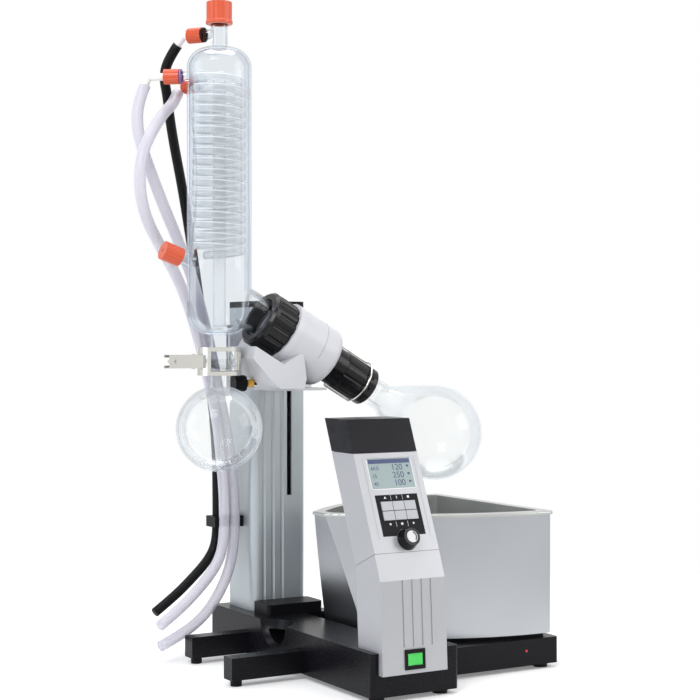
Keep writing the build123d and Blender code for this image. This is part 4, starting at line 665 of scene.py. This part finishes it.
SIGNS = [
    [(-2.2, -1.4), (2.2, -1.4), (0, 2.0)],
    [(-0.5, -2.2), (0.5, -2.2), (0.5, 2.2), (-0.5, 2.2)],
    [(-1.8, -1.8), (1.8, -1.8), (1.8, 1.8), (-1.8, 1.8)],
    [(2.2, 1.4), (-2.2, 1.4), (0, -2.0)],
    [(2 * cos(k * pi / 10), 2 * sin(k * pi / 10)) for k in range(20)],
    [(-1.4, -2.0), (2.0, 0), (-1.4, 2.0)],
]
for index, sign in enumerate(SIGNS):
    across = PANEL_MIDDLE + (index % 3 - 1) * KEY_PITCH
    up = SIGN_ROWS[index // 3]
    outline = [(across + SIGN_SCALE * a, up + SIGN_SCALE * u) for a, u in sign]
    patch(f"sign_{index + 1}", outline, print_and_highlight_white, "base")

disc = round_knob(DISC_RADIUS, [k * pi / 24 for k in range(48)])
patch("knob_disc", disc, knob_silver, "selector", KNOB_FACE, DISC_THICK)
sweep = [radians(a) for a in range(-50, 71, 5)]
arc = round_knob(ARC_OUTER, sweep) + round_knob(ARC_INNER, sweep[::-1])
patch("knob_arc", arc, print_and_shade_dark, "selector", KNOB_FACE + DISC_THICK, ARC_THICK)

# Floor: pale with the object's shadow near it, plain white further out
FLOOR_HALF = 12
floor_material, tree, out = new_material("floor")
link = tree.links.new
near = node(tree, "ShaderNodeBsdfPrincipled")
near.inputs["Base Color"].default_value = (0.90, 0.90, 0.90, 1)
near.inputs["Roughness"].default_value = 0.6
near.inputs["Specular IOR Level"].default_value = 0.15
near.inputs["Emission Color"].default_value = (1, 1, 1, 1)
near.inputs["Emission Strength"].default_value = 0.22
far = node(tree, "ShaderNodeEmission")
place = node(tree, "ShaderNodeTexCoord")
reach = node(tree, "ShaderNodeVectorMath", operation="LENGTH")
fade = node(tree, "ShaderNodeMapRange", interpolation_type="SMOOTHSTEP")
fade.inputs["From Min"].default_value = 0.45
fade.inputs["From Max"].default_value = 1.1
mixed = node(tree, "ShaderNodeMixShader")
link(place.outputs["Object"], reach.inputs[0])
link(reach.outputs["Value"], fade.inputs["Value"])
link(fade.outputs["Result"], mixed.inputs[0])
link(near.outputs["BSDF"], mixed.inputs[1])
link(far.outputs["Emission"], mixed.inputs[2])
link(mixed.outputs["Shader"], out.inputs["Surface"])
floor_mesh = bpy.data.meshes.new("floor")
corners = [(-FLOOR_HALF, -FLOOR_HALF, 0), (FLOOR_HALF, -FLOOR_HALF, 0)]
corners += [(FLOOR_HALF, FLOOR_HALF, 0), (-FLOOR_HALF, FLOOR_HALF, 0)]
floor_mesh.from_pydata(corners, [], [(0, 1, 2, 3)])
floor_mesh.materials.append(floor_material)
floor = add_object("floor", floor_mesh)

# World: light that grows towards the zenith, and plain white where the camera, metal or glass sees it
ZENITH = ((0.12, 0.30), (0.30, 0.62), (0.55, 0.95))  # (height, level) between the ends
world = bpy.data.worlds.new("studio")
scene.world = world
world.use_nodes = True
tree = world.node_tree
tree.nodes.clear()
link = tree.links.new
out = node(tree, "ShaderNodeOutputWorld")
place = node(tree, "ShaderNodeTexCoord")
split = node(tree, "ShaderNodeSeparateXYZ")
link(place.outputs["Generated"], split.inputs["Vector"])
ramp = node(tree, "ShaderNodeValToRGB")
ramp.color_ramp.elements[0].position = 0.0
ramp.color_ramp.elements[0].color = (0.62, 0.62, 0.63, 1)
ramp.color_ramp.elements[1].position = 1.0
ramp.color_ramp.elements[1].color = (1.0, 1.0, 1.0, 1)
for spot, level in ZENITH:
    step = ramp.color_ramp.elements.new(spot)
    step.color = (level, level, level * 1.01, 1)
link(split.outputs["Z"], ramp.inputs["Fac"])
studio = node(tree, "ShaderNodeBackground")
studio.inputs["Strength"].default_value = 0.62
link(ramp.outputs["Color"], studio.inputs["Color"])
plain = node(tree, "ShaderNodeBackground")
plain.inputs["Color"].default_value = (1, 1, 1, 1)
path = node(tree, "ShaderNodeLightPath")
seen = node(tree, "ShaderNodeMath", operation="ADD", use_clamp=True)
link(path.outputs["Is Camera Ray"], seen.inputs[0])
link(path.outputs["Is Glossy Ray"], seen.inputs[1])
shown = node(tree, "ShaderNodeMath", operation="ADD", use_clamp=True)
link(seen.outputs["Value"], shown.inputs[0])
link(path.outputs["Is Transmission Ray"], shown.inputs[1])
mixed = node(tree, "ShaderNodeMixShader")
link(shown.outputs["Value"], mixed.inputs[0])
link(studio.outputs["Background"], mixed.inputs[1])
link(plain.outputs["Background"], mixed.inputs[2])
link(mixed.outputs["Shader"], out.inputs["Surface"])


# Lamps and camera, in metres and watts

def lamp(name, place, target, size, power, color=(1.0, 1.0, 1.0)):
    """A rectangular lamp that faces its target."""
    light = bpy.data.lights.new(name, "AREA")
    light.shape = "RECTANGLE"
    light.size, light.size_y = size
    light.energy = power
    light.color = color
    holder = add_object(name, light)
    holder.location = place
    holder.rotation_euler = (Vector(target) - Vector(place)).to_track_quat("-Z", "Y").to_euler()


lamp("key_lamp", (-1.6, -1.3, 2.1), target=(0, 0, 0.3), size=(1.2, 1.2), power=36)
lamp("fill_lamp", (1.9, -1.9, 1.3), target=(0, 0, 0.3), size=(1.4, 1.4), power=20)
lamp("top_lamp", (0.1, 0.3, 2.4), target=(0, 0, 0.2), size=(1.6, 1.6), power=26)
lamp("cool_lamp", (-2.1, 0.5, 0.7), target=(0, 0, 0.2), size=(1.0, 1.4), power=9, color=(0.62, 0.78, 1.0))

camera_data = bpy.data.cameras.new("camera")
camera_data.sensor_width = 36.0
camera_data.lens = 82.03
camera = add_object("camera", camera_data)
camera.location = (-1.0118, -1.7488, 0.41095)
camera.rotation_euler = (radians(89.74), 0.0, radians(-30.59))
scene.camera = camera
scene.view_settings.view_transform = "Standard"
